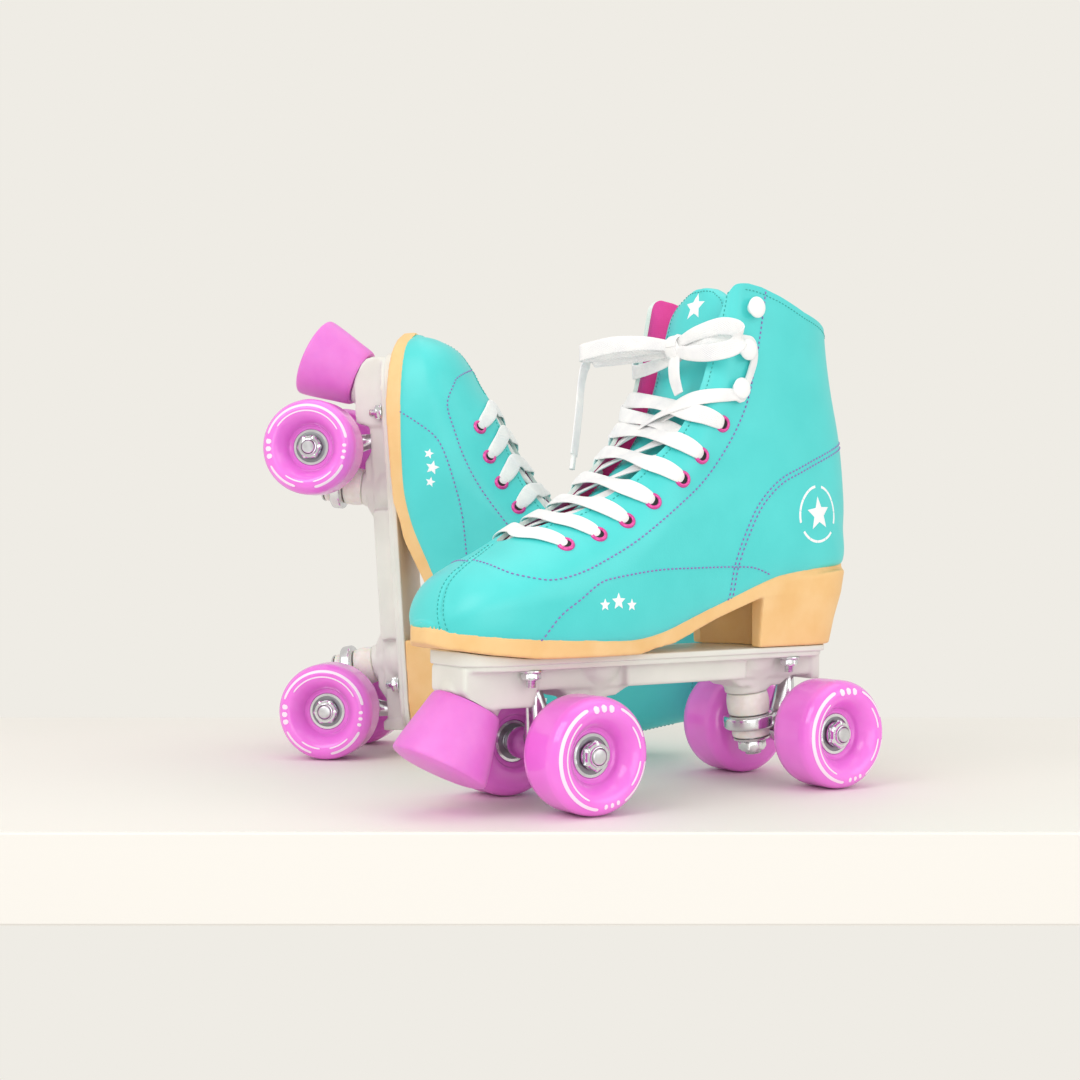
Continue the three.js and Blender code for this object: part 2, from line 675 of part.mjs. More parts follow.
// spin turns the tyre so that one of its flats faces down when the skate is tipped.
function wheel(name, rear, side, spin) {
  const group = new THREE.Group();
  group.position.set(rear ? WHEEL_BASE : 0, side * HALF_TRACK, WHEEL_RADIUS);
  group.rotation.z = side > 0 ? 0 : Math.PI;
  const upright = (geometry) => facingOut(geometry.rotateX(-Math.PI / 2));
  const tyre = upright(turned(WHEEL_PROFILE, WHEEL_SIDES)).rotateY(side * spin);
  const start = BEARING_OUTER_FACE + GAP;
  const nut = carve([hexagon(13, start, start + AXLE_NUT_LENGTH)], [rod(AXLE_RADIUS + 0.5, 0, 20)]);
  group.add(
    mesh(`${name}_wheel`, tyre, COLOURS.urethane, 0.25),
    mesh(`${name}_bearings`, upright(turned(BEARING_PROFILE, 8)), COLOURS.chrome, 0.25, 1),
    mesh(`${name}_nut`, nut.rotateX(-Math.PI / 2), COLOURS.chrome, 0.2, 1),
  );
  return group;
}

// ---- the pair ----

function skate(name, fall, spin) {
  const group = new THREE.Group();
  group.add(
    upper(`${name}_boot_upper`),
    tongue(`${name}_tongue`),
    insole(`${name}_insole`),
    laces(`${name}_laces`, fall),
    sole(`${name}_sole`),
    plate(`${name}_plate`),
    toeStop(`${name}_toe_stop`),
    toeStopBolt(`${name}_toe_stop_bolt`),
  );
  [['front', false], ['rear', true]].forEach(([end, rear]) => {
    group.add(truck(`${name}_${end}`, rear));
    group.add(wheel(`${name}_${end}_outer`, rear, -1, spin));
    group.add(wheel(`${name}_${end}_inner`, rear, 1, spin));
  });
  return group;
}

// How far past upright a skate on its heel leans before its counter touches the floor
function restingLean() {
  const points = bootSock(0, OUTER_STATIONS).attributes.position;
  let lean = 0;
  for (let k = 0; k < points.count; k += 1) {
    const back = points.getX(k) - WHEEL_BASE;
    const up = points.getZ(k) - WHEEL_RADIUS;
    lean = Math.max(lean, Math.atan2(back, up) - Math.asin(WHEEL_RADIUS / Math.hypot(back, up)));
  }
  return lean;
}

function lyingSkate() {
  const lean = restingLean();
  const mirrored = skate('right', new THREE.Vector3(1, 0, 0), lean);
  mirrored.scale.set(1, -1, 1);
  mirrored.position.set(-WHEEL_BASE, 0, -WHEEL_RADIUS);
  const tipped = new THREE.Group();
  tipped.rotation.y = Math.PI / 2 - lean;
  tipped.add(mirrored);
  const turnedRound = new THREE.Group();
  turnedRound.position.set(LYING_AT[0], LYING_AT[1], WHEEL_RADIUS);
  turnedRound.rotation.z = LYING_YAW;
  turnedRound.add(tipped);
  return turnedRound;
}

// The origin is on the floor, under the middle of the pair.
const pair = new THREE.Group();
pair.add(skate('left', new THREE.Vector3(0, 0, -1), 0), lyingSkate());
const extent = new THREE.Box3().setFromObject(pair, true);
pair.position.set(-(extent.min.x + extent.max.x) / 2, -(extent.min.y + extent.max.y) / 2, -extent.min.z);

export default pair;
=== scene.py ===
"""A pair of quad roller skates: the left one stands, the right one lies on its heel behind it.

Each skate is drawn in its own millimetres: front axle over x = 0, heel towards +X, inner side
towards +Y, floor at z = 0. skate_frame() carries that into the row frame.
"""
import json
import math

import bmesh
import bpy
import numpy as np
from mathutils import Matrix, Vector
from mathutils.bvhtree import BVHTree


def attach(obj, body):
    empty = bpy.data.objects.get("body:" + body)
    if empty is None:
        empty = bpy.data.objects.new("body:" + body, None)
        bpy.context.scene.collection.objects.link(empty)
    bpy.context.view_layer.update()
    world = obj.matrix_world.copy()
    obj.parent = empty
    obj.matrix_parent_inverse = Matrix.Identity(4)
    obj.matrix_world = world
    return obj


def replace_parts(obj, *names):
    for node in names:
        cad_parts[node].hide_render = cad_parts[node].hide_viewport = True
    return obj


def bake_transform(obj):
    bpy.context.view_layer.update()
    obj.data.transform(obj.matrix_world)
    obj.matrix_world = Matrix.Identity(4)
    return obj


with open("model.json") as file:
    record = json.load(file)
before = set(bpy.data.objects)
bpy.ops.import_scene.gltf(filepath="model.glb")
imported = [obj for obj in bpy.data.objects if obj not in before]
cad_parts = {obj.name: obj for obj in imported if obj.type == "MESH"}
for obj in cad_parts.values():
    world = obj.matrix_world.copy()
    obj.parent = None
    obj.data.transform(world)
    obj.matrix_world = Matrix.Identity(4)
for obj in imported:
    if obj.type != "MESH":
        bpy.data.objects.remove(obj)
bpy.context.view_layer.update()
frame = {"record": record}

MM = 0.001
FINE = 2
SIDES = ("left", "right")
ENDS = ("front", "rear")

# Driving sizes, as in the CAD model, in millimetres
WHEEL_BASE = 160.35
WHEEL_RADIUS = 29.0
HALF_TRACK = 38.5
KINGPIN_OFFSET = 21.5
KINGPIN_TILT = math.radians(7.7)
PIVOT = (-5.0, 0.0, 31.0)
TOE_STOP_TOP = (-44.0, 0.0, 52.0)
TOE_STOP_TILT = math.radians(28.7)
TOE_STOP_LENGTH = 35.0
PLATE_TOP = 75.5
BOOT_WALL = 2.4


# ---- places ----

def unit(vector):
    return vector / np.linalg.norm(vector)


def joint_place(name):
    """A joint's position and axis in the row frame."""
    joint = next(j for j in frame["record"]["behaviour"]["joints"] if j["name"] == name)
    return np.array(joint["pos_m"], float), np.array(joint["axis"], float)


def skate_frame(side):
    """The 4x4 from a skate's own millimetres to the row frame. The right skate's is mirrored."""
    front, outward = joint_place(f"{side}_front_outer_wheel_spin")
    rear, _ = joint_place(f"{side}_rear_outer_wheel_spin")
    along, across = unit(rear - front), -unit(outward)
    up = np.cross(along, across) * (1 if side == "left" else -1)
    place = np.eye(4)
    place[:3, :3] = np.column_stack([along, across, up]) * MM
    place[:3, 3] = front - place[:3, :3] @ np.array([0.0, -HALF_TRACK, WHEEL_RADIUS])
    return place


def moved(x, y, z):
    return np.array(Matrix.Translation((x, y, z)))


def rotated(angle, axis):
    return np.array(Matrix.Rotation(angle, 4, axis))


def truck_place(end):
    """A truck's frame: the middle of its axle, with the kingpin towards +X."""
    if end == "front":
        return moved(0, 0, WHEEL_RADIUS)
    return moved(WHEEL_BASE, 0, WHEEL_RADIUS) @ rotated(math.pi, "Z")


def kingpin_place(end):
    return truck_place(end) @ moved(KINGPIN_OFFSET, 0, 0) @ rotated(KINGPIN_TILT, "Y")


def wheel_place(end, outward):
    """A wheel's frame: its middle, with +Z out along the axle. outward is -1 or +1 along Y."""
    x = 0 if end == "front" else WHEEL_BASE
    turn = rotated(-outward * math.pi / 2, "X")
    return moved(x, outward * HALF_TRACK, WHEEL_RADIUS) @ turn


def toe_stop_place():
    return moved(*TOE_STOP_TOP) @ rotated(TOE_STOP_TILT, "Y")


PLACES = {side: skate_frame(side) for side in SIDES}


def transform(place, points):
    return np.asarray(points, float) @ place[:3, :3].T + place[:3, 3]


def basis(origin, normal, along=(1.0, 0.0, 0.0)):
    """A frame at origin with +Z along normal and +X as near to along as it can be."""
    z = unit(np.asarray(normal, float))
    x = unit(np.asarray(along, float) - z * np.dot(along, z))
    place = np.eye(4)
    place[:3, :3] = np.column_stack([x, np.cross(z, x), z])
    place[:3, 3] = origin
    return place


# ---- camera and stage ----

CAMERA_AT = (-468.4, -698.8, 134.5)
CAMERA_YAW = math.radians(33.79)
CAMERA_PITCH = math.radians(0.1)
CAMERA_LENS = 55.57
# The shelf in metres, its near and far edge from the camera
SHELF_NEAR = 0.760
SHELF_FAR = 1.245
SHELF_WIDTH = 3.0
SHELF_HEIGHT = 0.043
SHELF_DROP = 0.0001
SHELF_EDGE = 0.0012


def make_camera():
    data = bpy.data.cameras.new("camera")
    data.lens = CAMERA_LENS
    data.sensor_width = 36.0
    data.clip_start = 0.02
    camera = bpy.data.objects.new("camera", data)
    camera.location = transform(PLACES["left"], CAMERA_AT)
    camera.rotation_euler = (math.pi / 2 - CAMERA_PITCH, 0, -CAMERA_YAW)
    bpy.context.collection.objects.link(camera)
    bpy.context.scene.camera = camera
    return camera


def make_shelf(camera):
    """The pale slab that the skates stand on, square to the camera."""
    depth = SHELF_FAR - SHELF_NEAR
    bm = bmesh.new()
    bmesh.ops.create_cube(bm, size=1.0)
    bmesh.ops.scale(bm, vec=(SHELF_WIDTH, depth, SHELF_HEIGHT), verts=bm.verts)
    bmesh.ops.bevel(bm, geom=list(bm.edges), offset=SHELF_EDGE, segments=3, affect="EDGES")
    mesh = bpy.data.meshes.new("shelf")
    bm.to_mesh(mesh)
    bm.free()
    shelf = bpy.data.objects.new("shelf", mesh)
    middle = (SHELF_NEAR + SHELF_FAR) / 2
    shelf.location = (
        camera.location.x + middle * math.sin(CAMERA_YAW),
        camera.location.y + middle * math.cos(CAMERA_YAW),
        -SHELF_HEIGHT / 2 - SHELF_DROP,
    )
    shelf.rotation_euler = (0, 0, -CAMERA_YAW)
    bpy.context.collection.objects.link(shelf)
    mesh.materials.append(painted("shelf_paint", "#efece6", 0.6))


LIGHTS = [
    # name, place from the middle of the pair (right, away, up) seen by the camera, size, watts
    ("key", (-0.9, -1.0, 1.1), 1.0, 7.9),
    ("fill", (1.3, -0.9, 0.8), 1.2, 5.0),
    ("top", (0.1, 0.2, 1.6), 1.4, 4.7),
    ("low_front", (0.1, -1.5, 0.2), 1.0, 4.4),
]


def make_lights():
    right = Vector((math.cos(CAMERA_YAW), -math.sin(CAMERA_YAW), 0))
    away = Vector((math.sin(CAMERA_YAW), math.cos(CAMERA_YAW), 0))
    for name, (across, behind, up), size, watts in LIGHTS:
        data = bpy.data.lights.new(name, "AREA")
        data.size = size
        data.energy = watts
        light = bpy.data.objects.new(name, data)
        light.location = right * across + away * behind + Vector((0, 0, up))
        aim = Vector((0, 0, 0.12)) - light.location
        light.rotation_euler = aim.to_track_quat("-Z", "Y").to_euler()
        bpy.context.collection.objects.link(light)


def make_world():
    """A cream wall for the camera, and a slightly dimmer even light for everything else."""
    world = bpy.data.worlds.new("studio")
    world.use_nodes = True
    nodes, links = world.node_tree.nodes, world.node_tree.links
    nodes.clear()
    rays = nodes.new("ShaderNodeLightPath")
    seen = nodes.new("ShaderNodeBackground")
    seen.inputs["Color"].default_value = colour("#efece5")
    lit = nodes.new("ShaderNodeBackground")
    lit.inputs["Color"].default_value = colour("#f6f3ee")
    lit.inputs["Strength"].default_value = 0.8
    mix = nodes.new("ShaderNodeMixShader")
    out = nodes.new("ShaderNodeOutputWorld")
    links.new(rays.outputs["Is Camera Ray"], mix.inputs["Fac"])
    links.new(lit.outputs[0], mix.inputs[1])
    links.new(seen.outputs[0], mix.inputs[2])
    links.new(mix.outputs[0], out.inputs["Surface"])
    bpy.context.scene.world = world
    bpy.context.scene.view_settings.view_transform = "Standard"


# ---- materials ----

def colour(code):
    """A linear colour from an sRGB hex code."""
    values = [int(code[i:i + 2], 16) / 255 for i in (1, 3, 5)]
    linear = [v / 12.92 if v <= 0.04045 else ((v + 0.055) / 1.055) ** 2.4 for v in values]
    return (*linear, 1.0)


def painted(name, code, roughness, metallic=0.0, **sockets):
    """A Principled material with its constants on the shader's own sockets."""
    material = bpy.data.materials.new(name)
    material.use_nodes = True
    shader = material.node_tree.nodes["Principled BSDF"]
    shader.inputs["Base Color"].default_value = colour(code)
    shader.inputs["Roughness"].default_value = roughness
    shader.inputs["Metallic"].default_value = metallic
    for socket, value in sockets.items():
        shader.inputs[socket.replace("_", " ")].default_value = value
    material.diffuse_color = colour(code)
    return material


def object_coordinates(tree):
    return tree.nodes.new("ShaderNodeTexCoord").outputs["Object"]


def noise(tree, scale, detail):
    """A noise texture in the piece's own metres. scale is in cycles a metre."""
    node = tree.nodes.new("ShaderNodeTexNoise")
    node.inputs["Scale"].default_value = scale
    node.inputs["Detail"].default_value = detail
    node.inputs["Roughness"].default_value = 0.5
    tree.links.new(object_coordinates(tree), node.inputs["Vector"])
    return node.outputs["Fac"]


def cells(tree, scale):
    node = tree.nodes.new("ShaderNodeTexVoronoi")
    node.feature = "SMOOTH_F1"
    node.inputs["Scale"].default_value = scale
    node.inputs["Smoothness"].default_value = 0.3
    tree.links.new(object_coordinates(tree), node.inputs["Vector"])
    return node.outputs["Distance"]


def bump(material, heights):
    """Adds bumps. heights lists (socket, strength, depth in metres)."""
    tree = material.node_tree
    shader = tree.nodes["Principled BSDF"]
    normal = None
    for height, strength, depth in heights:
        node = tree.nodes.new("ShaderNodeBump")
        node.inputs["Strength"].default_value = strength
        node.inputs["Distance"].default_value = depth
        tree.links.new(height, node.inputs["Height"])
        if normal is not None:
            tree.links.new(normal, node.inputs["Normal"])
        normal = node.outputs["Normal"]
    tree.links.new(normal, shader.inputs["Normal"])


def vary(material, factor, codes, roughness=None):
    """Colour, and maybe roughness, between two values as factor goes from 0.3 to 0.7."""
    tree = material.node_tree
    shader = tree.nodes["Principled BSDF"]
    ramp = tree.nodes.new("ShaderNodeValToRGB")
    ramp.color_ramp.elements[0].position = 0.3
    ramp.color_ramp.elements[1].position = 0.7
    for element, code in zip(ramp.color_ramp.elements, codes):
        element.color = colour(code)
    tree.links.new(factor, ramp.inputs["Fac"])
    tree.links.new(ramp.outputs["Color"], shader.inputs["Base Color"])
    if roughness:
        spread = tree.nodes.new("ShaderNodeMapRange")
        spread.inputs["From Min"].default_value = 0.3
        spread.inputs["From Max"].default_value = 0.7
        spread.inputs["To Min"].default_value = roughness[0]
        spread.inputs["To Max"].default_value = roughness[1]
        tree.links.new(factor, spread.inputs["Value"])
        tree.links.new(spread.outputs["Result"], shader.inputs["Roughness"])


def vinyl_material():
    material = painted("vinyl", "#51d9d7", 0.38, Coat_Weight=0.12, Coat_Roughness=0.3)
    tree = material.node_tree
    vary(material, noise(tree, 45, 3), ("#4bd4d2", "#51d9d7"), (0.36, 0.44))
    bump(material, [
        (noise(tree, 60, 2), 0.25, 0.0006),
        (cells(tree, 1100), 0.22, 0.00010),
        (noise(tree, 2600, 2), 0.15, 0.00005),
    ])
    return material


def cloth_material(name, light, dark, threads=900):
    """Woven cloth with so many threads a metre: two crossed waves, with a little fuzz."""
    material = painted(name, light, 0.85, Sheen_Weight=0.3)
    tree = material.node_tree
    heights = []
    for axis in ("X", "Z"):
        wave = tree.nodes.new("ShaderNodeTexWave")
        wave.bands_direction = axis
        wave.inputs["Scale"].default_value = threads / 3.14
        wave.inputs["Distortion"].default_value = 1.2
        wave.inputs["Detail"].default_value = 1.0
        tree.links.new(object_coordinates(tree), wave.inputs["Vector"])
        heights.append((wave.outputs["Fac"], 0.3, 0.00015))
    heights.append((noise(tree, 3000, 2), 0.3, 0.0001))
    vary(material, noise(tree, 120, 3), (dark, light))
    bump(material, heights)
    return material


def lace_material():
    """A flat woven lace: fine ribs across it from its own UV, and a soft fuzz."""
    material = painted("lace", "#f7f6f5", 0.82, Sheen_Weight=0.35)
    tree = material.node_tree
    uv = tree.nodes.new("ShaderNodeUVMap")
    uv.uv_map = "lace"
    heights = []
    for rotation in (0.62, -0.62):
        turn = tree.nodes.new("ShaderNodeMapping")
        turn.inputs["Rotation"].default_value = (0, 0, rotation)
        tree.links.new(uv.outputs["UV"], turn.inputs["Vector"])
        wave = tree.nodes.new("ShaderNodeTexWave")
        wave.bands_direction = "X"
        wave.inputs["Scale"].default_value = 0.32
        tree.links.new(turn.outputs["Vector"], wave.inputs["Vector"])
        heights.append((wave.outputs["Fac"], 0.45, 0.00018))
    heights.append((noise(tree, 2500, 2), 0.25, 0.00008))
    vary(material, noise(tree, 90, 3), ("#eeeef0", "#fbfaf8"))
    bump(material, heights)
    return material


def drifting_material(name, codes, roughness, drift, bumps, metallic=0.0, **sockets):
    """A material whose colour and gloss drift with noise.

    codes are its own, its darker and its lighter colour. roughness is its own, and maybe the lowest and
    highest. drift is the noise's scale and detail, and each bump is (scale, detail, strength, depth).
    """
    material = painted(name, codes[0], roughness[0], metallic, **sockets)
    tree = material.node_tree
    vary(material, noise(tree, *drift), codes[1:], roughness[1:])
    bump(material, [(noise(tree, size, detail), strength, depth) for size, detail, strength, depth in bumps])
    return material


def metal_material(name, code, roughness):
    return drifting_material(
        name, (code, code, "#e6e7e9"), (roughness, roughness, roughness + 0.12), (150, 4),
        [(700, 3, 0.06, 0.0001)], 1.0,
    )


def plain_material(name, code, roughness, metallic=0.0, **sockets):
    """For small pieces: one colour and a fine grain."""
    material = painted(name, code, roughness, metallic, **sockets)
    bump(material, [(noise(material.node_tree, 900, 3), 0.12, 0.00008)])
    return material


MATERIALS = {
    "vinyl": vinyl_material(),
    "lining": cloth_material("lining", "#f64fb0", "#ee45a6"),
    "raw_edge": cloth_material("raw_edge", "#dfe9e4", "#cddcd6"),
    "tongue_back": cloth_material("tongue_back", "#e6ebe8", "#d8dfdb"),
    "purple_thread": plain_material("purple_thread", "#8d74b8", 0.6, Sheen_Weight=0.3),
    "vinyl_thread": plain_material("vinyl_thread", "#2aa8a3", 0.6, Sheen_Weight=0.3),
    "eyelet": plain_material("eyelet", "#e0459f", 0.22, 0.35, Coat_Weight=0.6),
    # dark: near-black for the discs in the eyelet holes, painted shade for the holes' shadowed insides
    "dark": plain_material("dark", "#1b1b20", 0.7),
    "white": plain_material("white", "#fbfbfb", 0.28, Coat_Weight=0.3),
    "print": plain_material("print", "#fcfafc", 0.35),
    "wheel_print": plain_material("wheel_print", "#fbe6f8", 0.3),
    "lace": lace_material(),
    "urethane": drifting_material(
        "urethane", ("#f47ae6", "#f073e0", "#f882ea"), (0.16, 0.14, 0.22), (35, 2), [(400, 2, 0.05, 0.0002)],
        Subsurface_Weight=0.18, Subsurface_Scale=0.006, Subsurface_Radius=(1.0, 0.35, 0.9),
        Coat_Weight=0.5, Coat_Roughness=0.06,
    ),
    "toe_stop": drifting_material(
        "toe_stop", ("#e87cda", "#e275d4", "#ea84dc"), (0.42, 0.38, 0.5), (60, 3), [(900, 3, 0.15, 0.0001)],
        Subsurface_Weight=0.1, Subsurface_Scale=0.005,
    ),
    "sole": drifting_material(
        "sole", ("#f2c687", "#efc07e", "#f5cd92"), (0.5, 0.45, 0.58), (55, 4),
        [(1500, 3, 0.2, 0.00008), (120, 2, 0.15, 0.0003)],
    ),
    "plate": drifting_material(
        "plate", ("#e2e4dc", "#dddfd7", "#e7e8e0"), (0.42, 0.38, 0.46), (40, 3),
        [(1400, 2, 0.12, 0.00006), (90, 2, 0.15, 0.0003)], Coat_Weight=0.25, Coat_Roughness=0.25,
    ),
    "chrome": metal_material("chrome", "#d9dadc", 0.12),
    "steel": metal_material("steel", "#c3c3c6", 0.28),
    "shield": plain_material("shield", "#8f9094", 0.35, 0.9),
    "cushion": drifting_material(
        "cushion", ("#f1eee6", "#e9e5db", "#f6f3ec"), (0.4,), (200, 3), [(1200, 2, 0.1, 0.00008)],
        Subsurface_Weight=0.2, Subsurface_Scale=0.003,
    ),
    "insole": cloth_material("insole", "#ee4fab", "#e3449f", 600),
}


# ---- mesh helpers: a solid is (points, faces) in millimetres ----

def curve(points, at):
    """A Catmull-Rom curve through points, one unit from each to the next."""
    points = np.asarray(points, float)
    last = len(points) - 1
    at = np.clip(np.asarray(at, float), 0, last)
    i = np.minimum(at.astype(int), last - 1)
    w = (at - i)[..., None]
    before, start = points[np.maximum(i - 1, 0)], points[i]
    end, after = points[i + 1], points[np.minimum(i + 2, last)]
    v0, v1 = (end - before) / 2, (after - start) / 2
    cubic = 2 * start - 2 * end + v0 + v1
    square = 3 * (end - start) - 2 * v0 - v1
    return cubic * w ** 3 + square * w ** 2 + v0 * w + start


def run_along(line):
    """How far along a line each of its points is."""
    return np.concatenate([[0], np.cumsum(np.linalg.norm(np.diff(line, axis=0), axis=1))])


def height_on(line, x):
    """The height, or the width, that a line of straight pieces has at X."""
    return np.interp(x, *np.transpose(line))


def even(points, step, *others):
    """A smooth curve through points with a point every step, and others spread along it."""
    points = np.asarray(points, float)
    dense = np.linspace(0, len(points) - 1, 40 * len(points))
    run = run_along(curve(points, dense))
    count = max(2, int(round(run[-1] / step)) + 1)
    at = np.interp(np.linspace(0, run[-1], count), run, dense)
    spread = []
    for other in others:
        other = np.asarray(other, float)
        value = curve(other if other.ndim > 1 else other[:, None], at)
        spread.append(value if other.ndim > 1 else value[:, 0])
    return (curve(points, at), *spread) if others else curve(points, at)


def ring_faces(rows, columns, closed_rows=False):
    """Quads between rows of a grid whose columns close on themselves."""
    faces = []
    for r in range(rows if closed_rows else rows - 1):
        a, b = r * columns, (r + 1) % rows * columns
        for c in range(columns):
            d = (c + 1) % columns
            faces.append((a + c, a + d, b + d, b + c))
    return faces


def sheet_faces(rows, columns):
    faces = []
    for r in range(rows - 1):
        a, b = r * columns, (r + 1) * columns
        faces.extend((a + c, a + c + 1, b + c + 1, b + c) for c in range(columns - 1))
    return faces


def loft(rings, closed=False):
    """A solid through rings of points. Its ends are filled unless it closes on itself."""
    rings = np.asarray(rings, float)
    rows, columns = rings.shape[:2]
    faces = ring_faces(rows, columns, closed)
    if not closed:
        faces.append(tuple(range(columns)))
        faces.append(tuple(range((rows - 1) * columns, rows * columns)))
    return rings.reshape(-1, 3), faces


def lathe(profile, sides=64):
    """A solid turned round Z. A [radius, height] profile that leaves the axis closes on itself."""
    angles = np.linspace(0, 2 * math.pi, sides, endpoint=False)
    round_ = np.stack([np.cos(angles), np.sin(angles)], -1)
    rings = [np.column_stack([round_ * max(r, 0.01), np.full(sides, h)]) for r, h in profile]
    return loft(rings, closed=profile[0][0] > 0 and profile[-1][0] > 0)


def rod(radius, low, high, sides=32, ease=0.4):
    """A round bar along Z with eased ends."""
    ease = min(ease, radius / 2)
    return lathe([
        [0, low], [radius - ease, low], [radius, low + ease], [radius, high - ease],
        [radius - ease, high], [0, high],
    ], sides)


def threaded(radius, low, high, pitch=1.0, depth=0.35, sides=32):
    """A bar with fine thread-like rings."""
    count = max(1, int((high - low) / pitch))
    profile = [[0, low], [radius - depth, low]]
    for k in range(count):
        start = low + (high - low) * k / count
        profile.append([radius, start + pitch * 0.5])
        profile.append([radius - depth, start + pitch * 0.95])
    return lathe([*profile, [radius - depth - 0.3, high], [0, high]], sides)


def hexagon(across_flats, low, high, bore=0.0, chamfer=0.9):
    """A nut or bolt head round Z, its corners chamfered by a cone at both ends."""
    angles = np.linspace(0, 2 * math.pi, 72, endpoint=False)
    flat = (angles + math.pi / 6) % (math.pi / 3) - math.pi / 6
    hexed = across_flats / 2 / np.cos(flat)
    limit = across_flats / 2 + 0.1

    def ring(radius, height):
        return np.column_stack([radius * np.cos(angles), radius * np.sin(angles), np.full(72, height)])

    rings = [
        ring(np.minimum(hexed, limit + grow), height) for height, grow in
        ((low, -0.3), (low + chamfer, 1.6), (high - chamfer, 1.6), (high, -0.3))
    ]
    if bore:
        rings += [
            ring(bore + ease, height) for height, ease in
            ((high, 0.5), (high - 0.6, 0), (low + 0.6, 0), (low, 0.5))
        ]
    return loft(rings, closed=bore > 0)


def ball(centre, radius, sides=32, rows=16):
    profile = [
        [radius * math.sin(math.pi * k / rows), -radius * math.cos(math.pi * k / rows)]
        for k in range(rows + 1)
    ]
    points, faces = lathe(profile, sides)
    return points + np.asarray(centre, float), faces


def between(start, end, radius_start, radius_end, sides=40):
    """A tapered bar from one point to another."""
    start, end = np.asarray(start, float), np.asarray(end, float)
    length = np.linalg.norm(end - start)
    side = (0, 1, 0) if abs((end - start)[1]) < 0.9 * length else (1, 0, 0)
    points, faces = lathe([[0, 0], [radius_start, 0], [radius_end, length], [0, length]], sides)
    return transform(basis(start, end - start, side), points), faces


def extruded(outline, low, high):
    """A plan outline carried up from low to high."""
    outline = np.asarray(outline, float)
    rings = [np.column_stack([outline, np.full(len(outline), h)]) for h in (low, high)]
    return loft(rings)


def side_extruded(outline, half_width):
    """An outline in X and Z carried across."""
    outline = np.asarray(outline, float)
    rings = [
        np.column_stack([outline[:, 0], np.full(len(outline), y), outline[:, 1]])
        for y in (-half_width, half_width)
    ]
    return loft(rings)


def block(x0, x1, half_width, z0, z1):
    return side_extruded([(x0, z0), (x1, z0), (x1, z1), (x0, z1)], half_width)


def rounded(corners, radius, count=5):
    """A plan outline with its corners rounded."""
    corners = np.asarray(corners, float)
    outline = []
    for k, corner in enumerate(corners):
        to_before, to_after = corners[k - 1] - corner, corners[(k + 1) % len(corners)] - corner
        before, after = np.linalg.norm(to_before), np.linalg.norm(to_after)
        reach = min(radius, before * 0.45, after * 0.45)
        a, b = corner + to_before / before * reach, corner + to_after / after * reach
        for t in np.linspace(0, 1, count):
            outline.append((1 - t) ** 2 * a + 2 * t * (1 - t) * corner + t * t * b)
    return outline


def placed(place, solid):
    return transform(place, solid[0]), solid[1]


def all_placed(place, solids):
    return [placed(place, solid) for solid in solids]


def joined(solids):
    """Several solids as one list of points and faces."""
    points, faces, start = [], [], 0
    for solid_points, solid_faces in solids:
        points.append(np.asarray(solid_points, float))
        faces.extend(tuple(v + start for v in face) for face in solid_faces)
        start += len(solid_points)
    return np.concatenate(points), faces


# ---- making pieces ----

def new_object(name, points, faces):
    mesh = bpy.data.meshes.new(name)
    mesh.from_pydata(np.asarray(points).tolist(), [], faces)
    piece = bpy.data.objects.new(name, mesh)
    bpy.context.collection.objects.link(piece)
    return piece


def clean(piece, weld=0.0, smooth_angle=35, outward=True):
    mesh = piece.data
    bm = bmesh.new()
    bm.from_mesh(mesh)
    if weld:
        bmesh.ops.remove_doubles(bm, verts=bm.verts, dist=weld)
    if outward:
        bmesh.ops.recalc_face_normals(bm, faces=bm.faces)
    bm.to_mesh(mesh)
    bm.free()
    mesh.shade_smooth()
    mesh.set_sharp_from_angle(angle=math.radians(smooth_angle))


def apply_modifiers(piece):
    """Bakes the piece's modifiers into its mesh."""
    graph = bpy.context.evaluated_depsgraph_get()
    mesh = bpy.data.meshes.new_from_object(piece.evaluated_get(graph))
    piece.modifiers.clear()
    old = piece.data
    piece.data = mesh
    bpy.data.meshes.remove(old)


def soften(piece, width, segments, angle):
    """Bevels the edges that are sharper than an angle in degrees."""
    bevel = piece.modifiers.new("soften", "BEVEL")
    bevel.width = width * MM
    bevel.segments = segments
    bevel.limit_method = "ANGLE"
    bevel.angle_limit = math.radians(angle)
    apply_modifiers(piece)


def make(side, name, solids, material, body, smooth_angle=35, weld=1e-6):
    """A piece from solids in its skate's millimetres, riding body if there is one.

    solids is a list, or a dict of lists by material.
    """
    by_material = solids if isinstance(solids, dict) else {material: solids}
    points, faces, kinds = [], [], []
    for index, group in enumerate(by_material.values()):
        group_points, group_faces = joined(group)
        start = sum(len(p) for p in points)
        points.append(group_points)
        faces.extend(tuple(v + start for v in face) for face in group_faces)
        kinds.extend([index] * len(group_faces))
    piece = new_object(f"{side}_{name}", transform(PLACES[side], np.concatenate(points)), faces)
    for kind in by_material:
        piece.data.materials.append(MATERIALS[kind])
    piece.data.polygons.foreach_set("material_index", kinds)
    clean(piece, weld, smooth_angle)
    if body:
        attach(piece, body)
    return piece


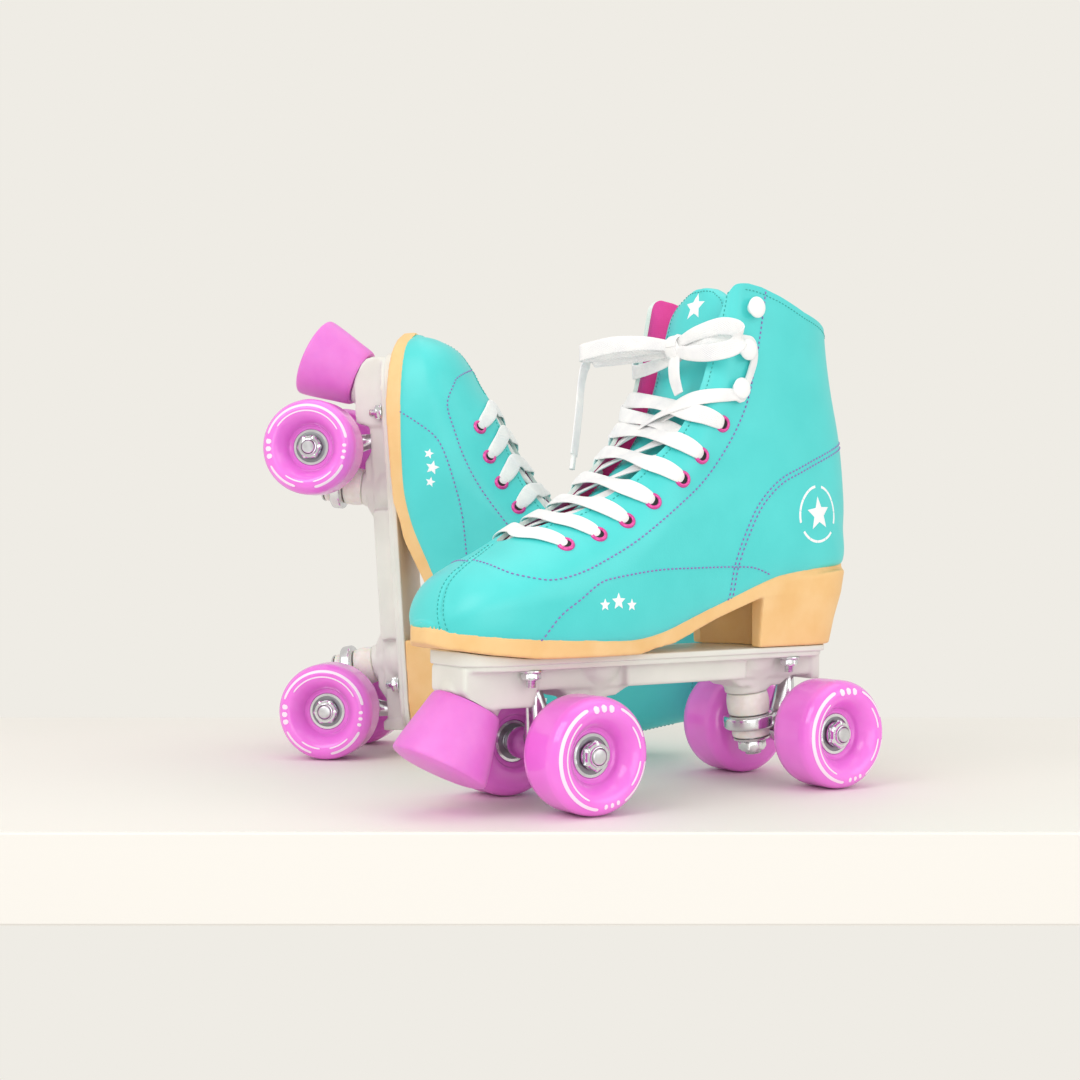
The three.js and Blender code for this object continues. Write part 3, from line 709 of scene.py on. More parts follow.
def cast(side, name, solids, cutters, material, body, voxel=0.9, smoothing=8):
    """Solids melted into one casting with soft corners and fillets, then drilled by cutters."""
    points, faces = joined(solids)
    piece = new_object(f"{side}_{name}", transform(PLACES[side], points), faces)
    clean(piece)
    remesh = piece.modifiers.new("melt", "REMESH")
    remesh.mode = "VOXEL"
    remesh.voxel_size = voxel * MM * (1 if FINE == 2 else 1.8)
    ease = piece.modifiers.new("ease", "SMOOTH")
    ease.factor = 0.5
    ease.iterations = smoothing
    apply_modifiers(piece)
    for points, faces in cutters:
        drill = new_object("drill", transform(PLACES[side], points), faces)
        clean(drill)
        cut = piece.modifiers.new("drill", "BOOLEAN")
        cut.operation = "DIFFERENCE"
        cut.solver = "MANIFOLD"
        cut.object = drill
        apply_modifiers(piece)
        bpy.data.objects.remove(drill)
    piece.data.materials.clear()
    piece.data.materials.append(MATERIALS[material])
    clean(piece, smooth_angle=40, outward=False)
    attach(piece, body)
    return piece


# ---- the boot's shape ----

# Sections from toe (0) to collar (20): the front and back of each one in X and Z
FRONT_LINE = [
    (-66.3, 95), (-63.5, 104), (-56, 114.5), (-45, 122), (-34, 127.4), (-22, 134), (-7, 142),
    (10, 150.5), (28, 163), (45, 178), (60, 192), (69, 203), (75, 215), (78.5, 226), (81, 236),
    (83, 244), (85, 251), (87, 258), (88.5, 264), (90, 269), (92, 275),
]
BACK_LINE = [
    (-66.8, 89.5), (-61, 87.3), (-53, 86.3), (-40, 85.3), (-25, 84.3), (-8, 83.4), (12, 82.8),
    (32, 82.8), (52, 86), (76, 94), (104, 103.7), (130, 112.5), (158, 116.5), (180, 118.5),
    (192, 121), (195.6, 133), (196.4, 149), (193, 178), (187, 207), (182, 234), (178.5, 262),
]
# Half the width at the crest, and half the flat underneath
BOOT_WIDTHS = [
    (10, 9), (22, 20), (31, 28), (37.5, 33.5), (41, 36.5), (42.5, 38), (43, 37.5), (42, 35),
    (40, 32.5), (38.5, 30.5), (37.5, 30), (37.5, 30), (38, 28.5), (38.5, 22), (38.5, 11), (38.5, 3),
    (38.5, 2), (38.5, 2), (38.5, 2), (38.5, 2), (38.5, 2),
]
# Where the crest is, from front to back, and how square the front half is
BOOT_CRESTS = [(0.6, 2)] * 6 + [
    (0.58, 2), (0.55, 2), (0.48, 2), (0.38, 2.1), (0.28, 2.3), (0.2, 2.5), (0.16, 2.5), (0.14, 2.5),
    (0.13, 2.5),
] + [(0.12, 2.5)] * 6
# How far each facing edge is from the middle over X, seen from above: outer side, then inner
THROAT = {
    -1: [(-25, 0), (-24.2, 2.6), (-22, 5.6), (-14, 9.8), (0, 14), (14, 18), (28, 21.3), (50, 25.2),
         (68, 28.2), (80, 29.8), (92, 31)],
    1: [(-25, 0), (-24.2, 2.6), (-22, 5.6), (-14, 9.8), (0, 14), (14, 18.6), (28, 22.8), (50, 28),
        (68, 32.3), (80, 34.8), (92, 36.6)],
}
# The collar's height over X, seen from the side
COLLAR = [(90.5, 256), (91.5, 262), (96, 266), (104, 266.5), (113, 265.3), (127, 261.5), (146, 255),
          (162, 251.5), (173, 248.5), (183, 244), (215, 240)]
CORNER_RADIUS = 10.0
# From the facing edge to the back of the ankle, round the boot
UPPER_REACH = 112.0
# The share of that reach, next to the sole and the back, over which the vinyl's waves die away
RELIEF_FADE = 0.12
# Rows up to this station are straight. Those above it bend towards the collar line
STRAIGHT_STATION = 14
TOP_STATION = 20
# The share of the rows that lies ahead of the throat, and how much the others thin out upwards
TOE_ROWS = 0.2
ROW_EASE = 0.12
# The centre seam of the toe
TOE_SEAM = [(-63.6, -12.5, 89.2), (-64.3, -9, 99.6), (-59.6, -4.9, 109), (-52.5, -3.1, 116.4),
            (-43.1, -1.2, 122.8), (-34, 1.6, 127.4), (-27, 3.2, 131)]


def swing(x):
    """How far the boot leans to its inner side: only the toe does."""
    return 4 * (np.maximum(0, 40 - np.asarray(x, float)) / 106.3) ** 2


def below_front(station, depth):
    """In X and Z, at a depth below the front line towards the back line, and the way in there."""
    front = curve(FRONT_LINE, station)
    inward = unit(curve(BACK_LINE, station) - front)
    return front + inward * depth, inward


def boot_point(station, angle, side=1):
    """On the upper's outside: angle 0 is the front line and pi the edge of the flat underneath."""
    station, angle = np.broadcast_arrays(np.asarray(station, float), np.asarray(angle, float))
    front, back = curve(FRONT_LINE, station), curve(BACK_LINE, station)
    half, foot = np.moveaxis(curve(BOOT_WIDTHS, station), -1, 0)
    crest, squareness = np.moveaxis(curve(BOOT_CRESTS, station), -1, 0)
    sine, cosine = np.sin(angle), np.cos(angle)
    power = 2 / squareness
    ahead = crest * (1 - np.abs(cosine) ** power)
    behind = crest + (1 - crest) * np.abs(cosine) ** 0.8
    share = np.where(cosine >= 0, ahead, behind)
    width = np.where(cosine >= 0, half * np.abs(sine) ** power, foot + (half - foot) * np.abs(sine) ** 0.8)
    line = front + (back - front) * share[..., None]
    return np.stack([line[..., 0], side * width + swing(line[..., 0]), line[..., 1]], -1)


def facing_angle(station, side):
    """The angle at which one side of the upper is cut away for the throat."""
    angles = np.linspace(0, math.pi / 2, 300)
    points = boot_point(station, angles)
    if points[0, 0] <= THROAT[side][0][0]:
        return 0.0
    past = points[:, 1] - swing(points[:, 0]) - height_on(THROAT[side], points[:, 0])
    k = max(1, int(np.argmax(past >= 0)))
    return float(np.interp(0, past[k - 1:k + 1], angles[k - 1:k + 1]))


def spread_angles(station, side, shares):
    """The angles at shares of the way along a section, from the facing edge to the sole."""
    angles = np.linspace(facing_angle(station, side), math.pi, 160)
    run = run_along(boot_point(station, angles))
    return np.interp(shares * run[-1], run, angles)


def collar_station(share, side):
    """The station at which a column of the upper meets the collar line, eased at the facing's corner."""
    stations = np.linspace(STRAIGHT_STATION + 1, TOP_STATION, 50)
    points = boot_point(stations, [spread_angles(station, side, share) for station in stations])
    corner = max(0.0, 1 - share * UPPER_REACH / CORNER_RADIUS)
    ease = CORNER_RADIUS * (1 - math.sqrt(1 - corner ** 2))
    over = points[:, 2] + ease - height_on(COLLAR, points[:, 0])
    return float(np.interp(0, np.maximum.accumulate(over), stations))


def distance_to_line(points, line):
    """How far each point is from a curve."""
    dense = even(line, 0.8)
    tree = BVHTree.FromPolygons(
        [Vector(p) for p in dense] + [Vector(p) + Vector((0.01, 0.01, 0.01)) for p in dense],
        [(k, k + 1, k + 1 + len(dense), k + len(dense)) for k in range(len(dense) - 1)],
    )
    away = [tree.find_nearest(Vector(p))[3] for p in points.reshape(-1, 3)]
    return np.array(away).reshape(points.shape[:-1])


def upper_relief(points):
    """How far the vinyl stands out from its smooth shape: soft waves, and the groove of the toe seam."""
    x, y, z = np.moveaxis(points, -1, 0)
    waves = (
        np.sin(x / 13.0 + 0.7 * np.sin(z / 17.0)) * np.sin(z / 19.0 + y / 23.0)
        + 0.6 * np.sin(z / 8.5 + x / 31.0 + 1.3) * np.sin(x / 21.0 - y / 15.0)
    )
    bend = np.exp(-((z - 0.55 * x - 118) / 26) ** 2) * np.exp(-((x - 62) / 34) ** 2)
    creases = np.sin((z - 0.35 * x) / 4.6 + 0.5 * np.sin(y / 9.0)) * bend
    away = distance_to_line(points, TOE_SEAM)
    groove = -0.75 * np.exp(-(away / 0.9) ** 2) + 0.3 * np.exp(-((away - 2.6) / 1.5) ** 2)
    return 0.32 * waves + 0.35 * creases + groove


def grid_normals(points):
    """Outward normals of a grid whose rows climb the boot and whose columns go round it."""
    along = np.gradient(points, axis=0)
    across = np.gradient(points, axis=1)
    normals = np.cross(across, along)
    length = np.linalg.norm(normals, axis=-1, keepdims=True)
    return normals / np.maximum(length, 1e-9)


def upper_side(rows, shares, side):
    """One side of the upper as rows from toe to collar and columns from facing edge to sole."""
    tops = np.array([collar_station(share, side) for share in shares])
    grid = []
    for row in rows:
        if row <= STRAIGHT_STATION:
            grid.append(boot_point(row, spread_angles(row, side, shares), side))
            continue
        climb = (row - STRAIGHT_STATION) / (TOP_STATION - STRAIGHT_STATION)
        stations = STRAIGHT_STATION + climb * (tops - STRAIGHT_STATION)
        angles = [spread_angles(station, side, share) for station, share in zip(stations, shares)]
        grid.append(boot_point(stations, angles, side))
    return np.array(grid)


def upper_grid():
    """The upper's outside as rows from toe to collar and columns from facing edge to facing edge."""
    rows, columns, floor_columns = 104 * FINE, 50 * FINE, 8 * FINE
    shares = np.linspace(0, 1, columns)
    throat_start = float(np.interp(THROAT[1][0][0], [p[0] for p in FRONT_LINE[:8]], range(8)))
    low = np.linspace(0, throat_start, int(rows * TOE_ROWS))
    high = np.linspace(throat_start, TOP_STATION, rows - len(low) + 1)[1:]
    high = throat_start + (high - throat_start) ** (1 + ROW_EASE) / (TOP_STATION - throat_start) ** ROW_EASE
    levels = np.concatenate([low, high])
    outer, inner = upper_side(levels, shares, -1), upper_side(levels, shares, 1)
    steps = np.linspace(0, 1, floor_columns + 1)[1:-1, None]
    floor = outer[:, -1:] + (inner[:, -1:] - outer[:, -1:]) * steps
    grid = np.concatenate([outer, floor, inner[:, ::-1]], axis=1)
    fade = np.clip((1 - shares) / RELIEF_FADE, 0, 1)
    fade = fade * fade * (3 - 2 * fade)
    relief = upper_relief(grid) * np.concatenate([fade, np.zeros(floor.shape[1]), fade[::-1]])
    normals = grid_normals(grid)
    middle = grid.mean(axis=1, keepdims=True)
    if np.sum(normals * (grid - middle)) < 0:
        normals = -normals
    return grid + normals * relief[..., None]


TOE_SCALES = (0.85, 0.6, 0.3, 0.04)
TOE_BULGE = 1.1


def toe_end(ring):
    """Rings that close the toe in a shallow dome."""
    middle = ring.mean(axis=0)
    rings = []
    for scale in TOE_SCALES:
        bulge = np.array([-TOE_BULGE * math.sqrt(1 - scale ** 2), 0, 0])
        rings.append(middle + (ring - middle) * scale + bulge)
    return rings


UPPER = upper_grid()
UPPER_SURFACE = BVHTree.FromPolygons(
    [Vector(p) for p in UPPER.reshape(-1, 3)], sheet_faces(*UPPER.shape[:2]),
)
OUTWARD = -1 if UPPER_SURFACE.find_nearest(Vector((60, -60, 130)))[1].y > 0 else 1


def on_upper(point, lift=0.0):
    """The nearest place on the upper's outside, and the way out there."""
    near, normal, _, _ = UPPER_SURFACE.find_nearest(Vector(point))
    normal = np.array(normal) * OUTWARD
    return np.array(near) + normal * lift, normal


def from_side(x, z, side):
    """The place on one side of the upper at an X and Z, looked at across the boot."""
    hit, normal, _, _ = UPPER_SURFACE.ray_cast(Vector((x, side * 90, z)), Vector((0, -side, 0)))
    if hit is None or hit.y * side < 0:
        return on_upper((x, side * 36, z))
    return np.array(hit), np.array(normal) * (1 if normal[1] * side > 0 else -1)


# ---- stitches ----

# Seams as X and Z, with the distance from the boot's middle where the side view can't place them.
# Outer side, then inner
VAMP_SEAM = {
    -1: [(-24.9, 84.8), (-16.5, 96.3), (-5.6, 104.2), (6.6, 112.2), (18.8, 115), (44.9, 118.1),
         (72.5, 118.8), (98, 119), (111.8, 118.3), (124, 114.5)],
    1: [(-18, 84.6), (-10.5, 95), (-1, 106), (11, 111.6), (32, 116.5), (47, 118.6), (65, 119.3), (98, 119),
        (111.8, 118.3), (124, 114.5)],
}
EYESTAY_SEAM = {
    -1: [(-41.7, 122.4, 3), (-38.9, 118.7, 22.4), (-33, 115.5, 30.9), (-20.2, 114), (-3.9, 117.2),
         (14.3, 124.3), (33.5, 134.1), (58.9, 150.8), (75.7, 163.7), (88.9, 179.4), (98.6, 195.2),
         (105.3, 211.1), (110.3, 232.3), (116.1, 263)],
    1: [(-43.5, 122.2, 0), (-37, 118, 26), (-32, 115.8, 32), (-20.2, 114), (-3.9, 117.6), (14.3, 123),
        (33.5, 132), (58.9, 149), (75.7, 163.7), (88.9, 179.4), (98.6, 195.2), (105.3, 211.1),
        (110.3, 232.3), (116.1, 263)],
}
COUNTER_SEAM = [(95.5, 101.5), (97.3, 118.5), (103.4, 135.6), (113.2, 152.4), (126.7, 164.7),
                (141.8, 171.4), (167.5, 180.9), (184, 186.5, 22), (192, 189, 10), (193, 189.5, 0)]
# Pitch, length and radius of the stitches on the panels and along the edges
PANEL_STITCH = (2.7, 1.75, 0.45)
EDGE_STITCH = (2.4, 1.6, 0.3)
# How far each row is from its edge, the counter's second row from its first, and the heel's rows from
# the boot's middle
FACING_ROW = 3.4
COLLAR_ROW = 3.2
TOE_ROW = 2.1
COUNTER_GAP = 2.6
HEEL_ROW_HALF = 12.0


def side_line(line, side):
    """Seam points on one side of the upper."""
    return np.array([
        on_upper((point[0], side * point[2], point[1]))[0] if len(point) == 3
        else from_side(*point, side)[0] for point in line
    ])


# Share of the length, share of the radius and height over the surface
STITCH_RINGS = [(0, 0.45, -0.25), (0.18, 0.9, 0.08), (0.5, 1.0, 0.16), (0.82, 0.9, 0.08), (1, 0.45, -0.25)]


def stitch(start, end, normal, radius):
    """One stitch: a short bar that dips into the surface at both ends."""
    along = end - start
    across = unit(np.cross(normal, along))
    rings = []
    for t, swell, lift in STITCH_RINGS:
        middle = start + along * t + normal * lift
        rings.append([
            middle + radius * swell * (across * math.cos(a) + normal * math.sin(a))
            for a in np.linspace(0, 2 * math.pi, 6, endpoint=False)
        ])
    return loft(rings)


def stitches(line, kind, lay=on_upper):
    """A row of stitches along a line, each one laid on a surface."""
    pitch, length, radius = kind
    row = []
    line = even(line, pitch / 2)
    for point, after in zip(line[::2], line[1::2]):
        start, normal = lay(point)
        end, _ = lay(point + unit(after - point) * length)
        row.append(stitch(start, end, normal, radius))
    return row


def beside(line, offset):
    """A line shifted across the upper's surface."""
    line = even(line, 3.0)
    shifted = []
    for point, way in zip(line, np.gradient(line, axis=0)):
        _, normal = on_upper(point)
        shifted.append(on_upper(point + unit(np.cross(normal, way)) * offset)[0])
    return shifted


def facing_line(side, inset):
    """A line that follows the facing edge, inset from it."""
    line = []
    for station in np.arange(5.3, 18.6, 0.5):
        angles = np.linspace(facing_angle(station, side), math.pi / 2, 60)
        points = boot_point(station, angles, side)
        run = run_along(points)
        line.append([np.interp(inset, run, points[:, axis]) for axis in range(3)])
    return line


def collar_line(side, drop):
    """A line under the collar's edge."""
    line = [(x, height_on(COLLAR, x) - drop) for x in np.linspace(102, 178, 18)]
    return side_line(line, side)


def heel_line(side):
    """Down the edge of the narrow strip at the back of the ankle."""
    return [on_upper((205, side * HEEL_ROW_HALF, z))[0] for z in np.linspace(239, 124, 14)]


def make_upper_stitches(side):
    body = f"{side}_skate"
    purple, tonal = [], []
    for cheek in (-1, 1):
        counter = side_line(COUNTER_SEAM, cheek)
        panels = (
            side_line(VAMP_SEAM[cheek], cheek), side_line(EYESTAY_SEAM[cheek], cheek),
            counter, beside(counter, COUNTER_GAP * cheek),
        )
        edges = (
            facing_line(cheek, FACING_ROW), collar_line(cheek, COLLAR_ROW),
            beside(TOE_SEAM, TOE_ROW * cheek), heel_line(cheek),
        )
        for line in panels:
            purple += stitches(line, PANEL_STITCH)
        for line in edges:
            tonal += stitches(line, EDGE_STITCH)
    make(side, "seam_stitches", purple, "purple_thread", body)
    make(side, "edge_stitches", tonal, "vinyl_thread", body)


# ---- the boot's pieces ----

def make_upper(side):
    """The vinyl shell: outside, pink lining and the pale cut edge between them."""
    rows, columns = UPPER.shape[:2]
    points = np.concatenate([UPPER.reshape(-1, 3), *toe_end(UPPER[0])])
    faces = sheet_faces(rows, columns)
    outer, ring = 0, rows * columns
    for _ in TOE_SCALES:
        faces.extend((outer + c, outer + c + 1, ring + c + 1, ring + c) for c in range(columns - 1))
        outer, ring = ring, ring + columns
    piece = new_object(f"{side}_upper", transform(PLACES[side], points), faces)
    clean(piece, weld=0.00004, smooth_angle=60)
    bm = bmesh.new()
    bm.from_mesh(piece.data)
    bmesh.ops.holes_fill(bm, edges=[e for e in bm.edges if e.is_boundary], sides=8)
    bm.to_mesh(piece.data)
    bm.free()
    for kind in ("vinyl", "lining", "raw_edge"):
        piece.data.materials.append(MATERIALS[kind])
    wall = piece.modifiers.new("wall", "SOLIDIFY")
    wall.thickness = BOOT_WALL * MM
    wall.offset = -1
    wall.use_even_offset = False
    wall.material_offset = 1
    wall.material_offset_rim = 2
    apply_modifiers(piece)
    soften(piece, 0.5, 2, 60)
    clean(piece, smooth_angle=50, outward=False)
    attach(piece, f"{side}_skate")
    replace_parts(piece, f"{side}_boot_upper")


# X, Z and distance from the boot's middle of each eyelet and hook, the same on both sides
EYELETS = [(-2.8, 125.2, 25), (14.4, 132.6, 28), (30.2, 140.6, 30), (45.3, 151.7, 32.5), (62.1, 163.6, 34),
           (73.9, 176, 35.5), (87.3, 192.8, 37)]
HOOKS = [(96.5, 211.2, 38), (101.1, 231.6, 39), (106.8, 253.8, 39.5)]
EYELET_RING = [[2.5, 0.15], [2.65, 0.75], [3.2, 1.1], [3.9, 0.9], [4.4, 0.3], [4.45, -0.3], [2.5, -0.3]]
HOOK_NECK = [[0, -0.2], [3.4, -0.2], [3.2, 0.6], [1.9, 1.0], [1.7, 3.2], [0, 3.2]]
HOOK_DISC = [[0, 2.9], [4.9, 3.1], [5.5, 3.6], [5.4, 4.1], [4.3, 4.8], [2.2, 5.3], [0, 5.45]]


def at_hole(hole, cheek, lift=0.0):
    """The middle of an eyelet or hook on the upper, and the way out there."""
    x, z, y = hole
    return on_upper((x, cheek * y + swing(x), z), lift)


def make_eyelets(side):
    body = f"{side}_skate"
    rings, hole_shades = [], []
    for cheek in (-1, 1):
        for hole in EYELETS:
            place = basis(*at_hole(hole, cheek))
            rings.append(placed(place, lathe(even(EYELET_RING, 0.3), 40)))
            # A thin dark disc fills each eyelet's middle: painted shade standing in for the shadowed inside
            # of the hole
            hole_shades.append(placed(place, lathe([[0, 0.05], [2.55, 0.05], [2.55, 0.3], [0, 0.3]], 32)))
    make(side, "eyelets", {"eyelet": rings, "dark": hole_shades}, None, body)


def make_hooks(side):
    solids = []
    for cheek in (-1, 1):
        for hook in HOOKS:
            place = basis(*at_hole(hook, cheek))
            solids.append(placed(place, lathe(HOOK_NECK, 32)))
            solids.append(placed(place, lathe(even(HOOK_DISC, 0.4), 48)))
    make(side, "hooks", solids, "white", f"{side}_skate")


# ---- tongue and insole ----

# Station, half width, and depth below the front line
TONGUE_SECTIONS = [
    (5.2, 13, 4.5), (6, 15, 6.3), (7, 17, 8.6), (8, 19, 11.5), (9, 22, 13.5), (10, 25, 14.5), (11, 27, 14),
    (12.5, 28, 14.3), (14, 28, 15), (16, 28, 14.5), (17.5, 27, 13), (18.5, 23.5, 12.5), (19.1, 17, 12.5),
    (19.45, 9, 12.5),
]
TONGUE_THICKNESS = 5.0
TONGUE_STAR = 8.0


def tongue_point(station, share, half, depth):
    """On the tongue's top: share runs from -1 to 1 across it."""
    (x, z), _ = below_front(station, depth + 3 * share ** 2)
    return np.array([x, half * share + swing(x), z])


def tongue_rings():
    """Rings round the tongue: its puffed front, a rolled edge and its flatter back."""
    count, across = 44 * FINE, 18 * FINE
    rows = curve(TONGUE_SECTIONS, np.linspace(0, len(TONGUE_SECTIONS) - 1, count))
    shares = np.sin(np.linspace(-math.pi / 2, math.pi / 2, across))
    rings = []
    for k, (station, half, depth) in enumerate(rows):
        end = min(1.0, (k + 0.6) / 3, (count - k - 0.4) / 5)
        thick = TONGUE_THICKNESS * math.sqrt(max(0.02, 1 - (1 - end) ** 2))
        top, back = [], []
        for share in shares:
            edge = math.sqrt(max(0, 1 - share ** 6))
            puff = 0.5 * math.sin(math.pi * min(1, abs(share) / 0.82))
            middle = depth + TONGUE_THICKNESS / 2
            top.append(tongue_point(station, share, half, middle - (thick / 2 + puff) * edge))
            back.append(tongue_point(station, share, half, middle + thick / 2 * edge))
        rings.append(top + back[::-1][1:-1])
    return np.array(rings), across


TONGUE, TONGUE_ACROSS = tongue_rings()
TONGUE_SURFACE = BVHTree.FromPolygons(
    [Vector(p) for p in TONGUE.reshape(-1, 3)], ring_faces(*TONGUE.shape[:2]),
)


def on_tongue(point, lift=0.0):
    """The nearest place on the tongue, and the way out on its front."""
    near, normal, _, _ = TONGUE_SURFACE.find_nearest(Vector(point))
    normal = np.array(normal) * (1 if normal.x < 0 or normal.z > 0.5 else -1)
    return np.array(near) + normal * lift, normal


def print_rings(shoulder):
    """Share of a printed mark's size and height over its surface, from its sunk edge to its middle."""
    return [(1.0, -0.25), (1.0, 0.05), (shoulder, 0.12), (0.5, 0.12), (0.02, 0.12)]


def make_tongue_trim(side):
    """The tongue's edge stitching and the printed star near its top."""
    body = f"{side}_skate"
    rows = curve(TONGUE_SECTIONS, np.linspace(3, 12.2, 30))
    right, left = (
        [tongue_point(station, way * (1 - 4.5 / half), half, depth - 2) for station, half, depth in rows]
        for way in (1, -1)
    )
    row = stitches(right + left[::-1], EDGE_STITCH, on_tongue)
    make(side, "tongue_stitches", row, "vinyl_thread", body)
    middle = tongue_point(17.9, 0, 27, 8)
    rings = [
        [
            on_tongue(middle + np.array([0.3 * v, u, v]) * share, lift)[0]
            for u, v in refined(star_outline(TONGUE_STAR))
        ]
        for share, lift in print_rings(0.9)
    ]
    make(side, "tongue_mark", [loft(rings)], "print", body)


def make_tongue(side):
    piece = new_object(f"{side}_padded_tongue", *placed(PLACES[side], loft(TONGUE)))
    for kind in ("vinyl", "tongue_back"):
        piece.data.materials.append(MATERIALS[kind])
    columns = TONGUE.shape[1]
    kinds = [int(face % columns >= TONGUE_ACROSS) for face in range(len(piece.data.polygons))]
    piece.data.polygons.foreach_set("material_index", kinds)
    clean(piece, 1e-6, 60)
    round_off = piece.modifiers.new("round", "SUBSURF")
    round_off.levels = 1
    apply_modifiers(piece)
    piece.data.shade_smooth()
    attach(piece, f"{side}_skate")
    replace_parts(piece, f"{side}_tongue")


INSOLE_STATIONS = [1.6, 2.4, 3.4, 5, 7, 9, 10, 11, 12, 12.8, 13.2]


def make_insole(side):
    rings = []
    for station in curve([[s] for s in INSOLE_STATIONS], np.linspace(0, 10, 60))[:, 0]:
        x, z = curve(BACK_LINE, station)
        half = curve(BOOT_WIDTHS, station)[1] - 8
        lean = swing(x)
        top = [[x, y + lean, z + 7.2 - 0.8 * (1 - (y / half) ** 2)] for y in np.linspace(-half, half, 17)]
        edges = [[x, half + 0.5 + lean, z + 6.2], [x, half + 0.5 + lean, z + 4.8]]
        low = [[x, y + lean, z + 4.2] for y in np.linspace(half, -half, 9)]
        far = [[x, -half - 0.5 + lean, z + 4.8], [x, -half - 0.5 + lean, z + 6.2]]
        rings.append(top + edges + low + far)
    piece = make(side, "insole_board", [loft(rings)], "insole", f"{side}_skate", 50)
    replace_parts(piece, f"{side}_insole")


# ---- laces ----

LACE_WIDTH = 9.6
LACE_THICK = 1.4
# Where the lace runs under the facings, seen from the upper's outside
LACE_UNDER = -BOOT_WALL - 1.5
LACE_LEVELS = [5.2, 6.25, 7.25, 8.25, 9.3, 10.3, 11.7, 13.1, 14.8]
HOLES = EYELETS + HOOKS[:2]
KNOT = np.array([79.0, -10.0, 234.0])
# Where the lace over the outer facing crosses its edge, and how much higher it crosses the inner one
OUTER_LEVELS = [5.35, 6.4, 7.4, 8.2, 9.05, 9.9, 11.0]
INNER_CLIMB = {"left": 0.45, "right": 0.02}


def ribbon(path, ways_out, widths, step=1.6, twist=0.0):
    """A flat woven lace along a path, with its broad side towards ways_out. Returns a solid and its UVs."""
    line, out, width = even(path, step / (1 if FINE == 2 else 0.5), ways_out, widths)
    run = run_along(line)
    along = np.gradient(line, axis=0)
    along /= np.linalg.norm(along, axis=1, keepdims=True)
    across = np.cross(out, along)
    across /= np.linalg.norm(across, axis=1, keepdims=True)
    out = np.cross(along, across)
    angles = np.linspace(0, 2 * math.pi, 20, endpoint=False)
    u = np.sign(np.cos(angles)) * np.abs(np.cos(angles)) ** 0.75
    v = np.sign(np.sin(angles)) * np.abs(np.sin(angles)) ** 0.7
    rings, uvs = [], []
    for k in range(len(line)):
        turn = twist * run[k] / run[-1]
        side = across[k] * math.cos(turn) + out[k] * math.sin(turn)
        top = out[k] * math.cos(turn) - across[k] * math.sin(turn)
        thick = LACE_THICK * (LACE_WIDTH / width[k]) ** 0.6
        cup = 0.25 * math.sin(run[k] / 7.0)
        rings.append([
            line[k] + side * (width[k] / 2 * a) + top * (thick / 2 * b + cup * (a * a - 0.4))
            for a, b in zip(u, v)
        ])
        uvs.append([(a * LACE_WIDTH / 2, run[k]) for a in u])
    return loft(rings), np.array(uvs).reshape(-1, 2)


def facing_point(level, cheek, lift=0.0):
    point = boot_point(level, facing_angle(level, cheek), cheek)
    place, normal = on_upper(point)
    return place + normal * lift, normal


def throat_middle(level, depth):
    """Over the middle of the throat, at a depth below the front line."""
    (x, z), inward = below_front(level, depth)
    return np.array([x, swing(x), z]), np.array([-inward[0], 0, -inward[1]])


def hole_step(k, cheek, level, toward, lift):
    """From a hole, a share of the way to where the facing edge is at level, laid on the upper."""
    hole, _ = at_hole(HOLES[k], cheek)
    edge, _ = facing_point(level, cheek)
    return on_upper(hole + (edge - hole) * toward, lift)


def edge_drop(level):
    """How far the facing edges are below the front line."""
    front, out = throat_middle(level, 0)
    edges = [facing_point(level, cheek)[0] for cheek in (-1, 1)]
    return float(np.dot(front - (edges[0] + edges[1]) / 2, out))


def lace_bar(side, k):
    """Over both facings from an outer hole to the inner one."""
    outer, inner = OUTER_LEVELS[k], LACE_LEVELS[k] + INNER_CLIMB[side]
    middle = (outer + inner) / 2
    rise = ((0, -0.7), (0.16, 0.9), (0.55, 1.3))
    stops = [hole_step(k, -1, outer, t, lift) for t, lift in rise]
    stops.append(facing_point(outer, -1, 1.4))
    stops.append(throat_middle(middle, edge_drop(middle) - 1.7))
    stops.append(facing_point(inner, 1, 1.4))
    stops += [hole_step(k, 1, inner, t, lift) for t, lift in rise[::-1]]
    widths = [4.4, 7.6, *[LACE_WIDTH] * 5, 7.6, 4.4]
    return ribbon([p for p, _ in stops], [n for _, n in stops], widths)


def lace_diagonal(k):
    """Under both facings from an inner hole to the next outer one."""
    low, high = LACE_LEVELS[k], LACE_LEVELS[k + 1]
    middle = (low + high) / 2
    stops = [
        hole_step(k, 1, low, 0.45, LACE_UNDER), facing_point(low, 1, LACE_UNDER),
        throat_middle(middle, edge_drop(middle) + 1.6),
        facing_point(high, -1, LACE_UNDER), hole_step(k + 1, -1, high, 0.45, LACE_UNDER),
    ]
    return ribbon([p for p, _ in stops], [n for _, n in stops], [6.5, 8.4, 8.4, 8.4, 6.5])


def lace_crossing(cheek):
    """From under one facing at the last eyelet, over the other facing to its first hook and round it."""
    above = 0.9 if cheek < 0 else -1.0
    middle, out = throat_middle(10.9, edge_drop(10.9) - 1.2 - above)
    hook, normal = at_hole(HOOKS[0], cheek, 2.0)
    stops = [
        facing_point(10.3, -cheek, LACE_UNDER), (middle, out), facing_point(11.5, cheek, 2.2),
        (hook + np.array([-5.0, 0, -3.5]), normal), (hook + np.array([1.0, 0, -5.2]), normal),
        (hook + np.array([4.6, 0, 0.5]), normal),
    ]
    return ribbon([p for p, _ in stops], [n for _, n in stops], [8.2, 8.6, 8.2, 6.5, 4.2, 3.6])


